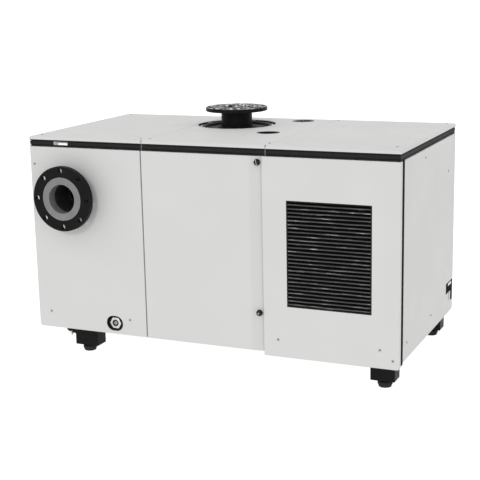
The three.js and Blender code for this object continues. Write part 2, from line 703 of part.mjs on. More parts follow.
function rotorParts() {
  const x = [CYLINDER_X[0] + 0.4, CYLINDER_X[1] - 0.4];
  const body = rod('x', ROTOR_AXIS, ROTOR, x[0], x[1], 40);
  const shaft = rod('x', ROTOR_AXIS, SHAFT, x[0] - 30, PULLEY_X[1] + 4, 20);
  const key = radialBar([PULLEY_X[0] + 4, PULLEY_X[1] - 8], [SHAFT - 4, SHAFT + 4.5], 12, 90);
  let rotor = union(body, shaft, key);
  for (const angle of VANE_ANGLES) {
    const depth = [ROTOR - VANE_HEIGHT - 4, ROTOR + 5];
    rotor = rotor.subtract(radialBar([x[0] - 1, x[1] + 1], depth, VANE_THICK + 0.8, angle));
  }
  add('rotor', rotor, STEEL);
  const tip = ROTOR - 0.6;
  VANE_ANGLES.forEach((angle, i) => {
    const vane = radialBar([x[0] + 0.3, x[1] - 0.3], [tip - VANE_HEIGHT, tip], VANE_THICK, angle);
    add(`vane_${i + 1}`, vane, VANE);
  });
}

// ---------------------------------------------------------------- belt drive

function pulley(centre, pitch, shaft) {
  const [from, to] = PULLEY_X;
  const seat = pitch - BELT_THICK / 2 - 0.5;
  const rim = pitch + BELT_THICK / 2 + 3;
  const hub = shaft + 18;
  const outer = [[rim, from], [rim, from + 6], [seat, from + 6], [seat, to - 6], [rim, to - 6], [rim, to]];
  const bore = shaft + 0.5;
  const inner = [[seat - 14, to], [seat - 20, to - 24], [hub, to - 24], [hub, to], [bore, to], [bore, from]];
  return turned([...outer, ...inner, [rim, from]], 'x', centre);
}

function beltLoop(shrink) {
  const reach = Math.hypot(ROTOR_AXIS.y - MOTOR.y, ROTOR_AXIS.z - MOTOR.z);
  const heading = Math.atan2(ROTOR_AXIS.z - MOTOR.z, ROTOR_AXIS.y - MOTOR.y);
  const wrap = Math.acos((MOTOR_PITCH - PUMP_PITCH) / reach);
  const loop = new THREE.Shape();
  const half = BELT_THICK / 2;
  const [start, turn, end] = [heading - wrap, heading + wrap, heading - wrap + 2 * Math.PI];
  loop.absarc(ROTOR_AXIS.y, ROTOR_AXIS.z, PUMP_PITCH + half - shrink, start, turn, false);
  loop.absarc(MOTOR.y, MOTOR.z, MOTOR_PITCH + half - shrink, turn, end, false);
  loop.closePath();
  return loop;
}

function driveBelt() {
  const [from, to] = [PULLEY_X[0] + 9, PULLEY_X[1] - 9];
  const inside = prism(beltLoop(BELT_THICK), 'x', from - 1, to + 1, 14);
  return prism(beltLoop(0), 'x', from, to, 14).subtract(inside);
}

function beltDrive() {
  const keyway = radialBar([PULLEY_X[0] - 1, PULLEY_X[1] + 1], [SHAFT - 2, SHAFT + 5], 12.8, 90);
  add('pump_pulley', pulley(ROTOR_AXIS, PUMP_PITCH, SHAFT).subtract(keyway), CAST);
  add('motor_pulley', pulley(MOTOR, MOTOR_PITCH, MOTOR_SHAFT), CAST);
  add('drive_belt', driveBelt(), RUBBER);
}

// ---------------------------------------------------------------- motor

function motorHousing() {
  const [from, to] = MOTOR_X;
  const barrel = rod('x', MOTOR, 152, from + 24, to - 24, 24);
  const shields = [[from, from + 25], [to - 25, to]].map(([a, b]) => rod('x', MOTOR, 146, a, b, 20));
  const feetBlocks = [430, 612].map((x) =>
    box([x, x + 40], [MOTOR.y - 125, MOTOR.y + 125], [BASE_TOP + 0.3, MOTOR.z - 110]));
  const terminalBox = box([470, 600], [MOTOR.y - 70, MOTOR.y + 70], [MOTOR.z + 120, MOTOR.z + 215]);
  const hollow = rod('x', MOTOR, 97, from + 26, to - 26, 18);
  const shaftHole = rod('x', MOTOR, MOTOR_SHAFT + 1, from - 1, to + 1, 12);
  return union(barrel, ...shields, ...feetBlocks, terminalBox).subtract(hollow).subtract(shaftHole);
}

function motorRotor() {
  const [from, to] = MOTOR_X;
  const core = rod('x', MOTOR, 93, from + 40, to - 40, 18);
  const shaft = rod('x', MOTOR, MOTOR_SHAFT, PULLEY_X[0] - 2, to + 44, 12);
  return union(core, shaft);
}

function fanBlades(count, radii, thick, place) {
  const blades = [];
  for (let i = 0; i < count; i += 1) {
    const geometry = new THREE.BoxGeometry(radii[1] - radii[0], thick, 34);
    geometry.translate((radii[0] + radii[1]) / 2, 0, 0);
    geometry.rotateX(THREE.MathUtils.degToRad(place.pitch));
    geometry.rotateZ((i * 2 * Math.PI) / count);
    if (place.axis === 'x') geometry.rotateY(Math.PI / 2);
    if (place.axis === 'y') geometry.rotateX(Math.PI / 2);
    geometry.translate(place.x, place.y, place.z);
    blades.push(solid(geometry));
  }
  return union(...blades);
}

function motorFan() {
  const x = MOTOR_X[1] + 26;
  const blades = fanBlades(6, [34, 124], 3, { axis: 'x', pitch: 0, x, ...MOTOR });
  const hub = ring('x', MOTOR, MOTOR_SHAFT + 0.5, 38, x - 17, x + 17, 16);
  const plate = ring('x', MOTOR, MOTOR_SHAFT + 0.5, 124, x - 17, x - 14, 18);
  return union(hub, blades, plate);
}

function motorFanCowl() {
  const from = MOTOR_X[1] + 0.4;
  const to = from + 62;
  const profile = [
    [147, from], [150, from], [150, to - 12], [138, to], [28, to], [28, to - 2.5], [137, to - 2.5],
    [147, to - 13], [147, from],
  ];
  const intake = around(6, 84, [0, 0], (x, y, angle) => {
    const geometry = new THREE.BoxGeometry(12, 84, 12);
    geometry.translate(to - 1, 84, 0);
    geometry.rotateX(angle);
    geometry.translate(0, MOTOR.y, MOTOR.z);
    return solid(geometry);
  });
  return turned(profile, 'x', MOTOR, 24).subtract(intake);
}

function motor() {
  add('motor_housing', motorHousing(), GREY);
  add('motor_rotor', motorRotor(), STEEL);
  add('motor_fan', motorFan(), BLACK);
  add('motor_fan_cowl', motorFanCowl(), GREY);
}

// ---------------------------------------------------------------- oil cooler and fan

const COOLER = { x: [398, 732], y: [392, 440], z: [262, 670] };
const COOLER_FAN = { x: 565, y: 350, z: 466, radius: 148 };

// Core between two header tanks, with the fan's shroud and motor on spider arms.
function oilCooler() {
  const { x, y, z } = COOLER;
  const tanks = [[x[0], x[0] + 34], [x[1] - 34, x[1]]].map((span) => box(span, y, z));
  const core = box([x[0] + 30, x[1] - 30], [y[0] + 4, y[1] - 4], [z[0] + 3, z[1] - 3]);
  const face = { x: COOLER_FAN.x, z: COOLER_FAN.z };
  const plateHole = rod('y', face, COOLER_FAN.radius + 6, y[0] - 20, y[0] + 1, 28);
  const plate = box(x, [y[0] - 3, y[0] + 1], z).subtract(plateHole);
  const shroud = ring('y', face, COOLER_FAN.radius + 6, COOLER_FAN.radius + 9, y[0] - 70, y[0] - 2, 28);
  const arms = [0, 90].map((turn) => {
    const geometry = new THREE.BoxGeometry(2 * COOLER_FAN.radius + 16, 5, 14);
    geometry.rotateY(THREE.MathUtils.degToRad(turn + 45));
    geometry.translate(face.x, y[0] - 66, face.z);
    return solid(geometry);
  });
  const fanMotor = rod('y', face, 44, y[0] - 130, y[0] - 64, 20);
  const spindleHole = rod('y', face, 7, y[0] - 100, y[0] - 50, 12);
  const legs = [x[0] + 4, x[1] - 34].map((left) => box([left, left + 30], y, [BASE_TOP + 0.3, z[0] + 2]));
  return union(...tanks, core, plate, shroud, ...arms, fanMotor, ...legs).subtract(spindleHole);
}

function coolerFan() {
  const place = { axis: 'y', pitch: 58, x: COOLER_FAN.x, y: COOLER_FAN.y + 4, z: COOLER_FAN.z };
  const blades = fanBlades(6, [30, COOLER_FAN.radius], 3, place);
  const hub = rod('y', COOLER_FAN, 36, -14, 18);
  const spindle = rod('y', COOLER_FAN, 6, -40, 0, 10);
  return union(blades, hub, spindle);
}

// Black gland box let into the right side at the rear, with two cable glands below it.
function cableEntry() {
  const [wide, low, slot] = CABLE_NOTCH;
  const x = [RIGHT - 21, RIGHT - 1];
  const upper = box(x, [wide.y[0] + 1, REAR - 2], [wide.z[0] + 1, wide.z[1] - 1]);
  const lower = box(x, [low.y[0] + 1, REAR - 2], [low.z[0] + 1, low.z[1] + 3]);
  const gland = (at, bottom, top) => turned([
    [0, bottom], [5.5, bottom], [5.5, top], [0, top],
  ], 'z', { x: (x[0] + x[1]) / 2 + 2, y: at }, 10);
  const cableEnd = gland((slot.y[0] + slot.y[1]) / 2, slot.z[0] + 2, slot.z[1] + 4);
  return union(upper, lower, cableEnd, gland(REAR - 22, low.z[0] - 24, low.z[0] + 4));
}

// ---------------------------------------------------------------- assembly

add('base_frame', baseFrame(), BLACK);
cornerPosts();
doorJambs();
topRails();
feet();
panels();
topCovers();
service();
add('inlet_port', inletPort(), CAST);
add('inlet_collar', inletCollar(), RUBBER);
add('inlet_valve', inletValve(), ALUMINIUM);
add('exhaust_flange', exhaustFlange(), BLACK);
add('exhaust_pipe', exhaustPipe(), GREY);
add('oil_casing', oilCasing(), CAST);
add('oil_casing_cover', oilCasingCover(), CAST);
add('exhaust_filter_set', exhaustFilters(), FILTER);
add('drain_plug', drainPlug(), STEEL);
add('pump_cylinder', pumpCylinder(), CAST);
add('drive_end_cover', driveEndCover(), CAST);
add('rear_end_cover', rearEndCover(), CAST);
rotorParts();
beltDrive();
motor();
add('oil_cooler', oilCooler(), ALUMINIUM);
add('cooler_fan', coolerFan(), BLACK);
add('cable_entry', cableEntry(), BLACK);

export default group;
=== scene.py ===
# Looks for the enclosed rotary vane vacuum pump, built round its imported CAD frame.
# Shapes are worked out in millimetres in the row frame; meshes are stored in metres.

import json
import math

import bmesh
import bpy
from mathutils import Matrix, Vector
from mathutils.geometry import tessellate_polygon


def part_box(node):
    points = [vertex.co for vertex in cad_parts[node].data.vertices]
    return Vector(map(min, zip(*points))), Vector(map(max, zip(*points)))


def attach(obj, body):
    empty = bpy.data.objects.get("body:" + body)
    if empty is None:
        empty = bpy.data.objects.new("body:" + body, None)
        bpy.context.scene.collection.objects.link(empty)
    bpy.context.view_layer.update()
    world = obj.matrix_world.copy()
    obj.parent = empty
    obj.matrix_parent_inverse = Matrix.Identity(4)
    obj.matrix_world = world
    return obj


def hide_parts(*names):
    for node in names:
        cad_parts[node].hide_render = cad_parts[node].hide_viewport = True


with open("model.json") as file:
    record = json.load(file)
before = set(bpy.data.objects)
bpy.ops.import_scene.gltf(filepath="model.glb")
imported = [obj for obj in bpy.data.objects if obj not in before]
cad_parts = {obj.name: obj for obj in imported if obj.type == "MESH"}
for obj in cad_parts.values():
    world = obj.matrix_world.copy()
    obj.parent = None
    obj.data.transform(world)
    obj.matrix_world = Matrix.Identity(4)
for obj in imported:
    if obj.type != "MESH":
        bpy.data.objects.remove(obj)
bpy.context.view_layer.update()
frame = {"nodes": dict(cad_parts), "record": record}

MM = 0.001
TURN = 2 * math.pi
SHARP_ANGLE = 38


# ---------------------------------------------------------------- frame measures

class Span:
    """A CAD node's box in millimetres: low and high corner, centre and size."""

    def __init__(self, node):
        low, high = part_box(node)
        self.low = low / MM
        self.high = high / MM
        self.centre = (self.low + self.high) / 2
        self.size = self.high - self.low


def shown(name, data):
    """A new object of that data, in the scene."""
    made = bpy.data.objects.new(name, data)
    bpy.context.scene.collection.objects.link(made)
    return made


# ---------------------------------------------------------------- materials

def principled(name):
    material = bpy.data.materials.new(name)
    material.use_nodes = True
    tree = material.node_tree
    return material, tree, tree.nodes["Principled BSDF"]


def node(tree, kind, settings=None, **inputs):
    made = tree.nodes.new(kind)
    for key, value in (settings or {}).items():
        setattr(made, key, value)
    for key, value in inputs.items():
        made.inputs[key.replace("_", " ")].default_value = value
    return made


def place_texture(tree, stretch=(1, 1, 1)):
    """Object coordinates, which are the row frame in metres, stretched along its axes."""
    where = node(tree, "ShaderNodeTexCoord")
    mapping = node(tree, "ShaderNodeMapping", Scale=stretch)
    tree.links.new(where.outputs["Object"], mapping.inputs["Vector"])
    return mapping.outputs["Vector"]


def noise_texture(tree, vector, scale, detail=3.0, roughness=0.55):
    texture = node(tree, "ShaderNodeTexNoise", Scale=scale, Detail=detail, Roughness=roughness)
    tree.links.new(vector, texture.inputs["Vector"])
    return texture.outputs["Fac"]


def ramp(tree, fac, stops):
    """A colour ramp; each stop is (place, grey) or (place, (r, g, b))."""
    made = node(tree, "ShaderNodeValToRGB")
    points = made.color_ramp.elements
    while len(points) < len(stops):
        points.new(0.5)
    for point, (place, value) in zip(points, stops):
        point.position = place
        rgb = value if isinstance(value, tuple) else (value,) * 3
        point.color = (*rgb, 1)
    tree.links.new(fac, made.inputs["Fac"])
    return made.outputs["Color"]


def shade(rgb, factor):
    return tuple(min(1.0, c * factor) for c in rgb)


def surface(name, rgb, rough, metal=0.0, vary=0.06, vary_scale=9.0, grain=None, coat=0.0, specular=0.5):
    """A base finish: slow colour and gloss variation, and a fine grain as bump.

    grain is (scale per metre, strength, distance in metres)."""
    material, tree, shader = principled(name)
    vector = place_texture(tree)
    slow = noise_texture(tree, vector, vary_scale, 4.0)
    colour = ramp(tree, slow, [(0.3, shade(rgb, 1 - vary)), (0.7, shade(rgb, 1 + vary))])
    tree.links.new(colour, shader.inputs["Base Color"])
    gloss = ramp(tree, noise_texture(tree, vector, vary_scale * 3.1, 3.0),
                 [(0.3, max(0.03, rough - 0.06)), (0.7, min(1.0, rough + 0.06))])
    tree.links.new(gloss, shader.inputs["Roughness"])
    shader.inputs["Metallic"].default_value = metal
    shader.inputs["Coat Weight"].default_value = coat
    shader.inputs["Specular IOR Level"].default_value = specular
    if grain:
        scale, strength, distance = grain
        bump = node(tree, "ShaderNodeBump", Strength=strength, Distance=distance)
        tree.links.new(noise_texture(tree, vector, scale, 2.0), bump.inputs["Height"])
        tree.links.new(bump.outputs["Normal"], shader.inputs["Normal"])
    return material


def opened(material):
    """The material's nodes, its base colour socket, and what feeds that socket so far."""
    tree = material.node_tree
    colour = tree.nodes["Principled BSDF"].inputs["Base Color"]
    return tree, colour, colour.links[0].from_socket


def edge_wear_and_highlight(material, rgb, amount=0.5, radius=0.0025):
    """Lightens the base colour along edges: partly paint rubbed by handling, partly a painted highlight for
    the light the edges catch.
    """
    tree, colour, under = opened(material)
    bevel = node(tree, "ShaderNodeBevel", {"samples": 4}, Radius=radius)
    flat = node(tree, "ShaderNodeNewGeometry")
    dot = node(tree, "ShaderNodeVectorMath", {"operation": "DOT_PRODUCT"})
    tree.links.new(bevel.outputs["Normal"], dot.inputs[0])
    tree.links.new(flat.outputs["Normal"], dot.inputs[1])
    edge = ramp(tree, dot.outputs["Value"], [(0.80, amount), (0.97, 0.0)])
    breakup = ramp(tree, noise_texture(tree, place_texture(tree), 90.0, 5.0), [(0.42, 0.0), (0.6, 1.0)])
    mask = node(tree, "ShaderNodeMath", {"operation": "MULTIPLY"})
    tree.links.new(edge, mask.inputs[0])
    tree.links.new(breakup, mask.inputs[1])
    mix = node(tree, "ShaderNodeMix", {"data_type": "RGBA"})
    mix.inputs[7].default_value = (*rgb, 1)
    tree.links.new(mask.outputs[0], mix.inputs[0])
    tree.links.new(under, mix.inputs[6])
    tree.links.new(mix.outputs[2], colour)
    return material


def glint_streaked(name, dark, light):
    """Black paint on thin slats, with light streaks along each painted into the base colour: painted glints
    where the slats catch the light unevenly.
    """
    material = surface(name, (dark, dark, dark), 0.4, grain=(220.0, 0.3, 0.0010), specular=0.2)
    tree, colour, _ = opened(material)
    glint_streaks = noise_texture(tree, place_texture(tree, (13.0, 1.0, 210.0)), 1.0, 5.0, 0.6)
    tree.links.new(ramp(tree, glint_streaks, [(0.35, dark), (0.58, dark * 1.9), (0.72, light)]), colour)
    return material


def glint_speckled(name, dark, light):
    """Machined iron, its base colour mottled between dark iron and bright blotches: the blotches are painted
    glints.
    """
    material = surface(name, (light, light, light), 0.8, grain=(400.0, 0.25, 0.0008), specular=0.06)
    tree, colour, _ = opened(material)
    glint_blotches = noise_texture(tree, place_texture(tree), 62.0, 5.0, 0.6)
    tree.links.new(ramp(tree, glint_blotches, [(0.44, dark), (0.53, light * 0.25), (0.63, light)]), colour)
    return material


def powder_coat(name):
    return surface(name, (0.50, 0.50, 0.495), 0.55, vary=0.02, vary_scale=2.6, grain=(900.0, 0.12, 0.0006),
                   specular=0.25)


def door_paint_and_bend_shade():
    """The powder coat, its colour slightly darker where the door bends back to its latch edge: painted shade
    for the bend turning from the light.
    """
    material = powder_coat("door_powder_coat_bend_shade")
    tree, colour, under = opened(material)
    where = node(tree, "ShaderNodeSeparateXYZ")
    tree.links.new(place_texture(tree), where.inputs[0])
    # painted shade: the base colour darkens across the bend to the latch edge
    bend = ramp(tree, where.outputs["X"], [(0.198, 1.0), (0.212, 0.945)])
    mix = node(tree, "ShaderNodeMix", {"data_type": "RGBA", "blend_type": "MULTIPLY"})
    mix.inputs[0].default_value = 1.0
    tree.links.new(under, mix.inputs[6])
    tree.links.new(bend, mix.inputs[7])
    tree.links.new(mix.outputs[2], colour)
    return material


MATERIALS = {
    # the cabinet's skin
    "paint": powder_coat("cabinet_powder_coat"),
    "paint_door_bend_shade": door_paint_and_bend_shade(),
    "frame_paint": surface("frame_paint", (0.016, 0.016, 0.017), 0.5, vary=0.2, vary_scale=12.0,
                           grain=(500.0, 0.2, 0.0008)),
    # near black and barely glossy: the parts' own black paint, darkened further as painted shade for the
    # slots, gaps and holes it lines
    "post": surface("corner_post_paint", (0.003, 0.003, 0.003), 0.7, vary=0.2, vary_scale=12.0,
                    grain=(500.0, 0.2, 0.0008), specular=0.03),
    "trim": surface("black_moulded_trim", (0.012, 0.012, 0.0125), 0.6, vary=0.12, vary_scale=18.0,
                    grain=(1100.0, 0.15, 0.0004), specular=0.12),
    "grille": surface("black_louvre_paint", (0.006, 0.006, 0.0065), 0.4, vary=0.3, vary_scale=14.0,
                      grain=(260.0, 0.25, 0.0010), specular=0.15),
    # slat lips: black paint with painted glints
    "louvre": glint_streaked("louvre_lip_paint_and_glints", 0.034, 0.42),
    "plate": surface("blank_nameplate", (0.80, 0.80, 0.78), 0.38, vary=0.05, vary_scale=70.0),
    "badge": surface("faded_badge_print", (0.20, 0.20, 0.20), 0.5, vary=0.9, vary_scale=420.0),
    # the gas ports
    # black paint's edges lightened: rubbed paint and a painted highlight
    "black": edge_wear_and_highlight(surface("black_satin_paint", (0.0045, 0.0045, 0.0048), 0.45, vary=0.25, vary_scale=22.0,
                          grain=(420.0, 0.22, 0.0008), specular=0.09), (0.07, 0.07, 0.072), 0.3),
    # grey mouth's rims lightened strongly: mostly a painted highlight on its edges, partly rubbed paint
    "grey_rim": edge_wear_and_highlight(surface("grey_pipe_casting", (0.15, 0.15, 0.148), 0.55, vary=0.10, vary_scale=26.0,
                             grain=(300.0, 0.3, 0.0010)), (0.42, 0.42, 0.41), 0.9, 0.004),
    # near black: the pipe's dark paint, darkened further as painted shade deep in the bore and in the drain
    # plug's groove
    "bore_shade_black": surface("dark_pipe_painted_shade", (0.026, 0.026, 0.026), 0.6, vary=0.3, vary_scale=40.0,
                         grain=(300.0, 0.3, 0.0010), specular=0.15),
    # sealing faces: dark iron with painted glints
    "glint_speckled": glint_speckled("sealing_face_painted_glints", 0.022, 0.75),
    "collar": surface("collar_rubber", (0.005, 0.005, 0.0052), 0.55, vary=0.2, vary_scale=30.0,
                      grain=(600.0, 0.2, 0.0006), specular=0.12),
    # bare and plated metal
    "zinc": surface("zinc_plated_steel", (0.62, 0.62, 0.61), 0.34, metal=1.0, vary=0.10, vary_scale=60.0,
                    grain=(700.0, 0.12, 0.0004)),
    "zinc_dull": surface("dull_zinc_plate", (0.34, 0.34, 0.34), 0.5, metal=0.9, vary=0.2, vary_scale=60.0,
                         grain=(500.0, 0.2, 0.0005)),
    "screw": surface("plated_screw", (0.24, 0.24, 0.24), 0.4, metal=0.3, vary=0.3, vary_scale=300.0,
                     grain=(700.0, 0.2, 0.0004)),
    "steel": surface("machined_steel", (0.56, 0.56, 0.56), 0.3, metal=1.0, vary=0.10, vary_scale=30.0,
                     grain=(520.0, 0.12, 0.0004)),
    "aluminium": surface("mill_aluminium", (0.68, 0.69, 0.70), 0.42, metal=1.0, vary=0.10, vary_scale=36.0,
                         grain=(420.0, 0.18, 0.0005)),
    "brass": surface("sight_glass_ring", (0.62, 0.45, 0.20), 0.3, metal=1.0, vary=0.1, vary_scale=50.0),
    # castings
    "iron": edge_wear_and_highlight(surface("painted_casting", (0.050, 0.054, 0.058), 0.58, vary=0.16, vary_scale=24.0,
                         grain=(240.0, 0.55, 0.0016)), (0.22, 0.22, 0.22), 0.4),
    "grey": surface("grey_casting", (0.20, 0.20, 0.195), 0.62, vary=0.10, vary_scale=26.0,
                    grain=(300.0, 0.4, 0.0012)),
    # rubber, plastic, fibre and glass
    "rubber": surface("foot_rubber", (0.010, 0.010, 0.010), 0.82, vary=0.25, vary_scale=40.0,
                      grain=(500.0, 0.3, 0.0008), specular=0.3),
    "plastic": surface("black_moulded_plastic", (0.022, 0.022, 0.023), 0.5, vary=0.15, vary_scale=30.0,
                       grain=(900.0, 0.15, 0.0004)),
    "belt": surface("belt_rubber", (0.02, 0.019, 0.018), 0.75, vary=0.3, vary_scale=60.0,
                    grain=(800.0, 0.35, 0.0006), specular=0.3),
    "vane": surface("vane_fibre_composite", (0.10, 0.075, 0.045), 0.55, vary=0.3, vary_scale=160.0,
                    grain=(900.0, 0.2, 0.0005)),
    "filter": surface("filter_fibre", (0.62, 0.58, 0.46), 0.9, vary=0.18, vary_scale=240.0,
                      grain=(1300.0, 0.5, 0.0010), specular=0.2),
    "foam": surface("acoustic_foam", (0.035, 0.035, 0.037), 0.95, vary=0.3, vary_scale=120.0,
                    grain=(350.0, 0.9, 0.0030), specular=0.1),
    "glass": surface("sight_glass", (0.16, 0.10, 0.03), 0.08, coat=0.6, vary=0.1),
}

SLOT_MATERIAL = {
    "cabinet_paint": "paint", "black_paint": "frame_paint", "black_trim": "trim", "pad_rubber": "rubber",
    "cast_iron": "iron", "grey_casting": "grey", "machined_steel": "steel", "aluminium": "aluminium",
    "black_plastic": "plastic", "belt_rubber": "belt", "vane_composite": "vane", "filter_fibre": "filter",
}


# ---------------------------------------------------------------- outlines and rings

SHEET = 3.0
HOLE_EASE = 0.5


def circle(a, b, radius, steps=64, start=0.0):
    return [(a + radius * math.cos(start + TURN * i / steps), b + radius * math.sin(start + TURN * i / steps))
            for i in range(steps)]


def circle_rings(a, b, profile, steps=64, start=0.0):
    """Rings of a round edge or hole: profile is [(radius, depth), ...]."""
    return [(circle(a, b, radius, steps, start), depth) for radius, depth in profile]


def rounded_loop(a, b, radii, insets, steps=6):
    """Rectangle a by b. radii: low-left, low-right, high-right, high-left; insets: left, right, low, high."""
    left, right, low, high = insets
    a0, a1, b0, b1 = a[0] + left, a[1] - right, b[0] + low, b[1] - high
    corners = [
        ((a0, b0), (1, 1), radii[0], 0.5, (left, low)),
        ((a1, b0), (-1, 1), radii[1], 0.75, (right, low)),
        ((a1, b1), (-1, -1), radii[2], 0.0, (right, high)),
        ((a0, b1), (1, -1), radii[3], 0.25, (left, high)),
    ]
    points = []
    for (x, y), (sx, sy), radius, start, near in corners:
        if radius <= 0:
            points.append((x, y))
            continue
        bend = max(radius - max(near), 0.01)
        for i in range(steps + 1):
            angle = TURN * (start + 0.25 * i / steps)
            points.append((x + sx * bend + bend * math.cos(angle), y + sy * bend + bend * math.sin(angle)))
    return points


def rounded_rings(a, b, radius, levels):
    """Rings of a rectangle's edge or cut-out: levels are [(inset, depth), ...]."""
    return [(rounded_loop(a, b, [radius] * 4, [inset] * 4, 4), depth) for inset, depth in levels]


def fold_inset(radius, depth):
    """How far a rounded fold of that radius stands in from its side at that depth."""
    if radius <= 0 or depth >= radius:
        return 0.0
    return radius - math.sqrt(radius ** 2 - (radius - depth) ** 2)


def sheet_rings(a, b, corners, folds, depth):
    """Rings of a sheet folded back all round: folds are the outer bend radii, left, right, low, high."""
    levels = sorted({round(f * s, 4) for f in set(folds) for s in (0, 0.12, 0.4, 1)})
    rings = []
    for level in levels:
        rings.append((rounded_loop(a, b, corners, [fold_inset(f, level) for f in folds]), level))
    rings.append((rounded_loop(a, b, corners, [0] * 4), depth))
    rings.append((rounded_loop(a, b, corners, [SHEET] * 4), depth))
    for share in (1.0, 0.35, 0.0):
        bends = [max(f - SHEET, 0.6) for f in folds]
        insets = [SHEET + fold_inset(r, r * share) for r in bends]
        rings.append((rounded_loop(a, b, corners, insets), SHEET + max(bends) * share))
    return rings


def hole_rings(loop):
    """Rings of a hole through a sheet, its edge slightly eased. loop(grow) gives its outline."""
    step = HOLE_EASE * 0.3
    return [(loop(HOLE_EASE), 0.0), (loop(step), step), (loop(0.0), HOLE_EASE), (loop(0.0), SHEET)]


def round_hole(a, b, radius):
    return hole_rings(lambda grow: circle(a, b, radius + grow, 72))


def square_hole(a, b, radius=1.5, steps=4):
    return hole_rings(lambda grow: rounded_loop(a, b, [radius + grow] * 4, [-grow] * 4, steps))


def inset_outline(outline, amount):
    """The outline moved inwards by amount, corner by corner."""
    made = []
    count = len(outline)
    for i, corner in enumerate(outline):
        here = Vector(corner)
        before = (here - Vector(outline[i - 1])).normalized()
        after = (Vector(outline[(i + 1) % count]) - here).normalized()
        normal = Vector((-before.y - after.y, before.x + after.x))
        scale = 1 + before.dot(after)
        made.append(tuple(here + normal * (amount / max(scale, 0.25))))
    return made


def eased(profile, radius, steps=3):
    """The profile with each corner rounded. A closed profile ends on its first point."""
    points = [Vector(p) for p in profile]
    closed = (points[0] - points[-1]).length < 1e-6
    if closed:
        points.pop()
    made = []
    for i, corner in enumerate(points):
        if not closed and i in (0, len(points) - 1):
            made.append(corner)
            continue
        before = points[i - 1] - corner
        after = points[(i + 1) % len(points)] - corner
        cut = min(radius, 0.45 * before.length, 0.45 * after.length)
        if cut < 0.02 or abs(before.normalized().dot(after.normalized())) > 0.995:
            made.append(corner)
            continue
        start = corner + before.normalized() * cut
        end = corner + after.normalized() * cut
        for k in range(steps + 1):
            t = k / steps
            made.append(start * (1 - t) ** 2 + corner * 2 * t * (1 - t) + end * t ** 2)
    if closed:
        made.append(made[0].copy())
    return [tuple(p) for p in made]


def hexagon(across):
    return circle(0, 0, across / math.sqrt(3), 6)


# ---------------------------------------------------------------- solids as (points, faces)

def band(near, far):
    """Faces between two closed rings of vertex numbers; either may be a single point."""
    count = max(len(near), len(far))
    faces = []
    for i in range(count):
        j = (i + 1) % count
        ring = [near[i % len(near)], near[j % len(near)], far[j % len(far)], far[i % len(far)]]
        face = [v for k, v in enumerate(ring) if v not in ring[:k]]
        if len(face) > 2:
            faces.append(face)
    return faces


def filled(loops):
    """Triangles that fill the first loop around the others; each loop is (vertex numbers, points)."""
    numbers = [number for ring, _ in loops for number in ring]
    outlines = [[Vector((a, b, 0)) for a, b in points] for _, points in loops]
    return [[numbers[i] for i in triangle] for triangle in tessellate_polygon(outlines)]


def plate(boundaries, place):
    """A solid with a front face between the first rings and a back face between the last ones."""
    points, faces, fronts, backs = [], [], [], []
    for rings in boundaries:
        numbered = []
        for outline, depth in rings:
            numbered.append((list(range(len(points), len(points) + len(outline))), outline))
            points.extend(place(a, b, depth) for a, b in outline)
        for (near, _), (far, _) in zip(numbered, numbered[1:]):
            faces.extend(band(near, far))
        fronts.append(numbered[0])
        backs.append(numbered[-1])
    return points, faces + filled(fronts) + filled(backs)


def facing(side, face):
    """Where a panel's (across, up, depth) lies; depth runs inwards from its outer face."""
    return {
        "front": lambda a, b, depth: (a, face + depth, b),
        "rear": lambda a, b, depth: (a, face - depth, b),
        "left": lambda a, b, depth: (face + depth, a, b),
        "right": lambda a, b, depth: (face - depth, a, b),
        "top": lambda a, b, depth: (a, b, face - depth),
    }[side]


def lathe(profile, axis, centre, steps=96):
    """A turned solid; profile is [(radius, place along the axis), ...], on the axis or closed at its ends."""
    points, faces, rings = [], [], []
    closed = profile[0] == profile[-1]
    for radius, along in profile[:-1] if closed else profile:
        count = 1 if radius < 1e-6 else steps
        rings.append(list(range(len(points), len(points) + count)))
        for i in range(count):
            p, q = radius * math.cos(TURN * i / steps), radius * math.sin(TURN * i / steps)
            if axis == "x":
                points.append((along, centre[1] + p, centre[2] + q))
            elif axis == "y":
                points.append((centre[0] + p, along, centre[2] + q))
            else:
                points.append((centre[0] + p, centre[1] + q, along))
    pairs = list(zip(rings, rings[1:])) + ([(rings[-1], rings[0])] if closed else [])
    for near, far in pairs:
        faces.extend(band(near, far))
    return points, faces


def turned(profile, ease, centre=(0, 0, 0), axis="z", steps=96):
    """A turned solid whose section has rounded corners."""
    return lathe(eased(profile, ease), axis, centre, steps)


def rod(axis, centre, radius, span, steps=64):
    return lathe([(0, span[0]), (radius, span[0]), (radius, span[1]), (0, span[1])], axis, centre, steps)


def upright(a, b, depth):
    return a, b, depth


def prism(outline, depth, place=upright, ease=0.8):
    """An outline pushed straight back, its two rims eased. Outline runs anticlockwise."""
    low, high = depth
    rings = [(inset_outline(outline, ease), low), (inset_outline(outline, ease * 0.3), low + ease * 0.3),
             (outline, low + ease), (outline, high - ease),
             (inset_outline(outline, ease * 0.3), high - ease * 0.3), (inset_outline(outline, ease), high)]
    return plate([rings], place)


def block(x, y, z, ease=0.8):
    """A box with eased edges."""
    outline = rounded_loop(x, y, [min(ease * 2, (x[1] - x[0]) / 3, (y[1] - y[0]) / 3)] * 4, [0] * 4, 3)
    return prism(outline, z, ease=ease)


def joined(*parts):
    points, faces = [], []
    for part_points, part_faces in parts:
        start = len(points)
        points.extend(part_points)
        faces.extend([start + v for v in face] for face in part_faces)
    return points, faces


def moved(part, matrix):
    points, faces = part
    return [tuple(matrix @ Vector(p)) for p in points], faces


def aimed(centre, normal):
    """The matrix that stands a piece made along +Z on centre, along normal."""
    return Matrix.Translation(Vector(centre)) @ Vector(normal).to_track_quat("Z", "Y").to_matrix().to_4x4()


def scattered(part, places, normal):
    return joined(*[moved(part, aimed(place, normal)) for place in places])


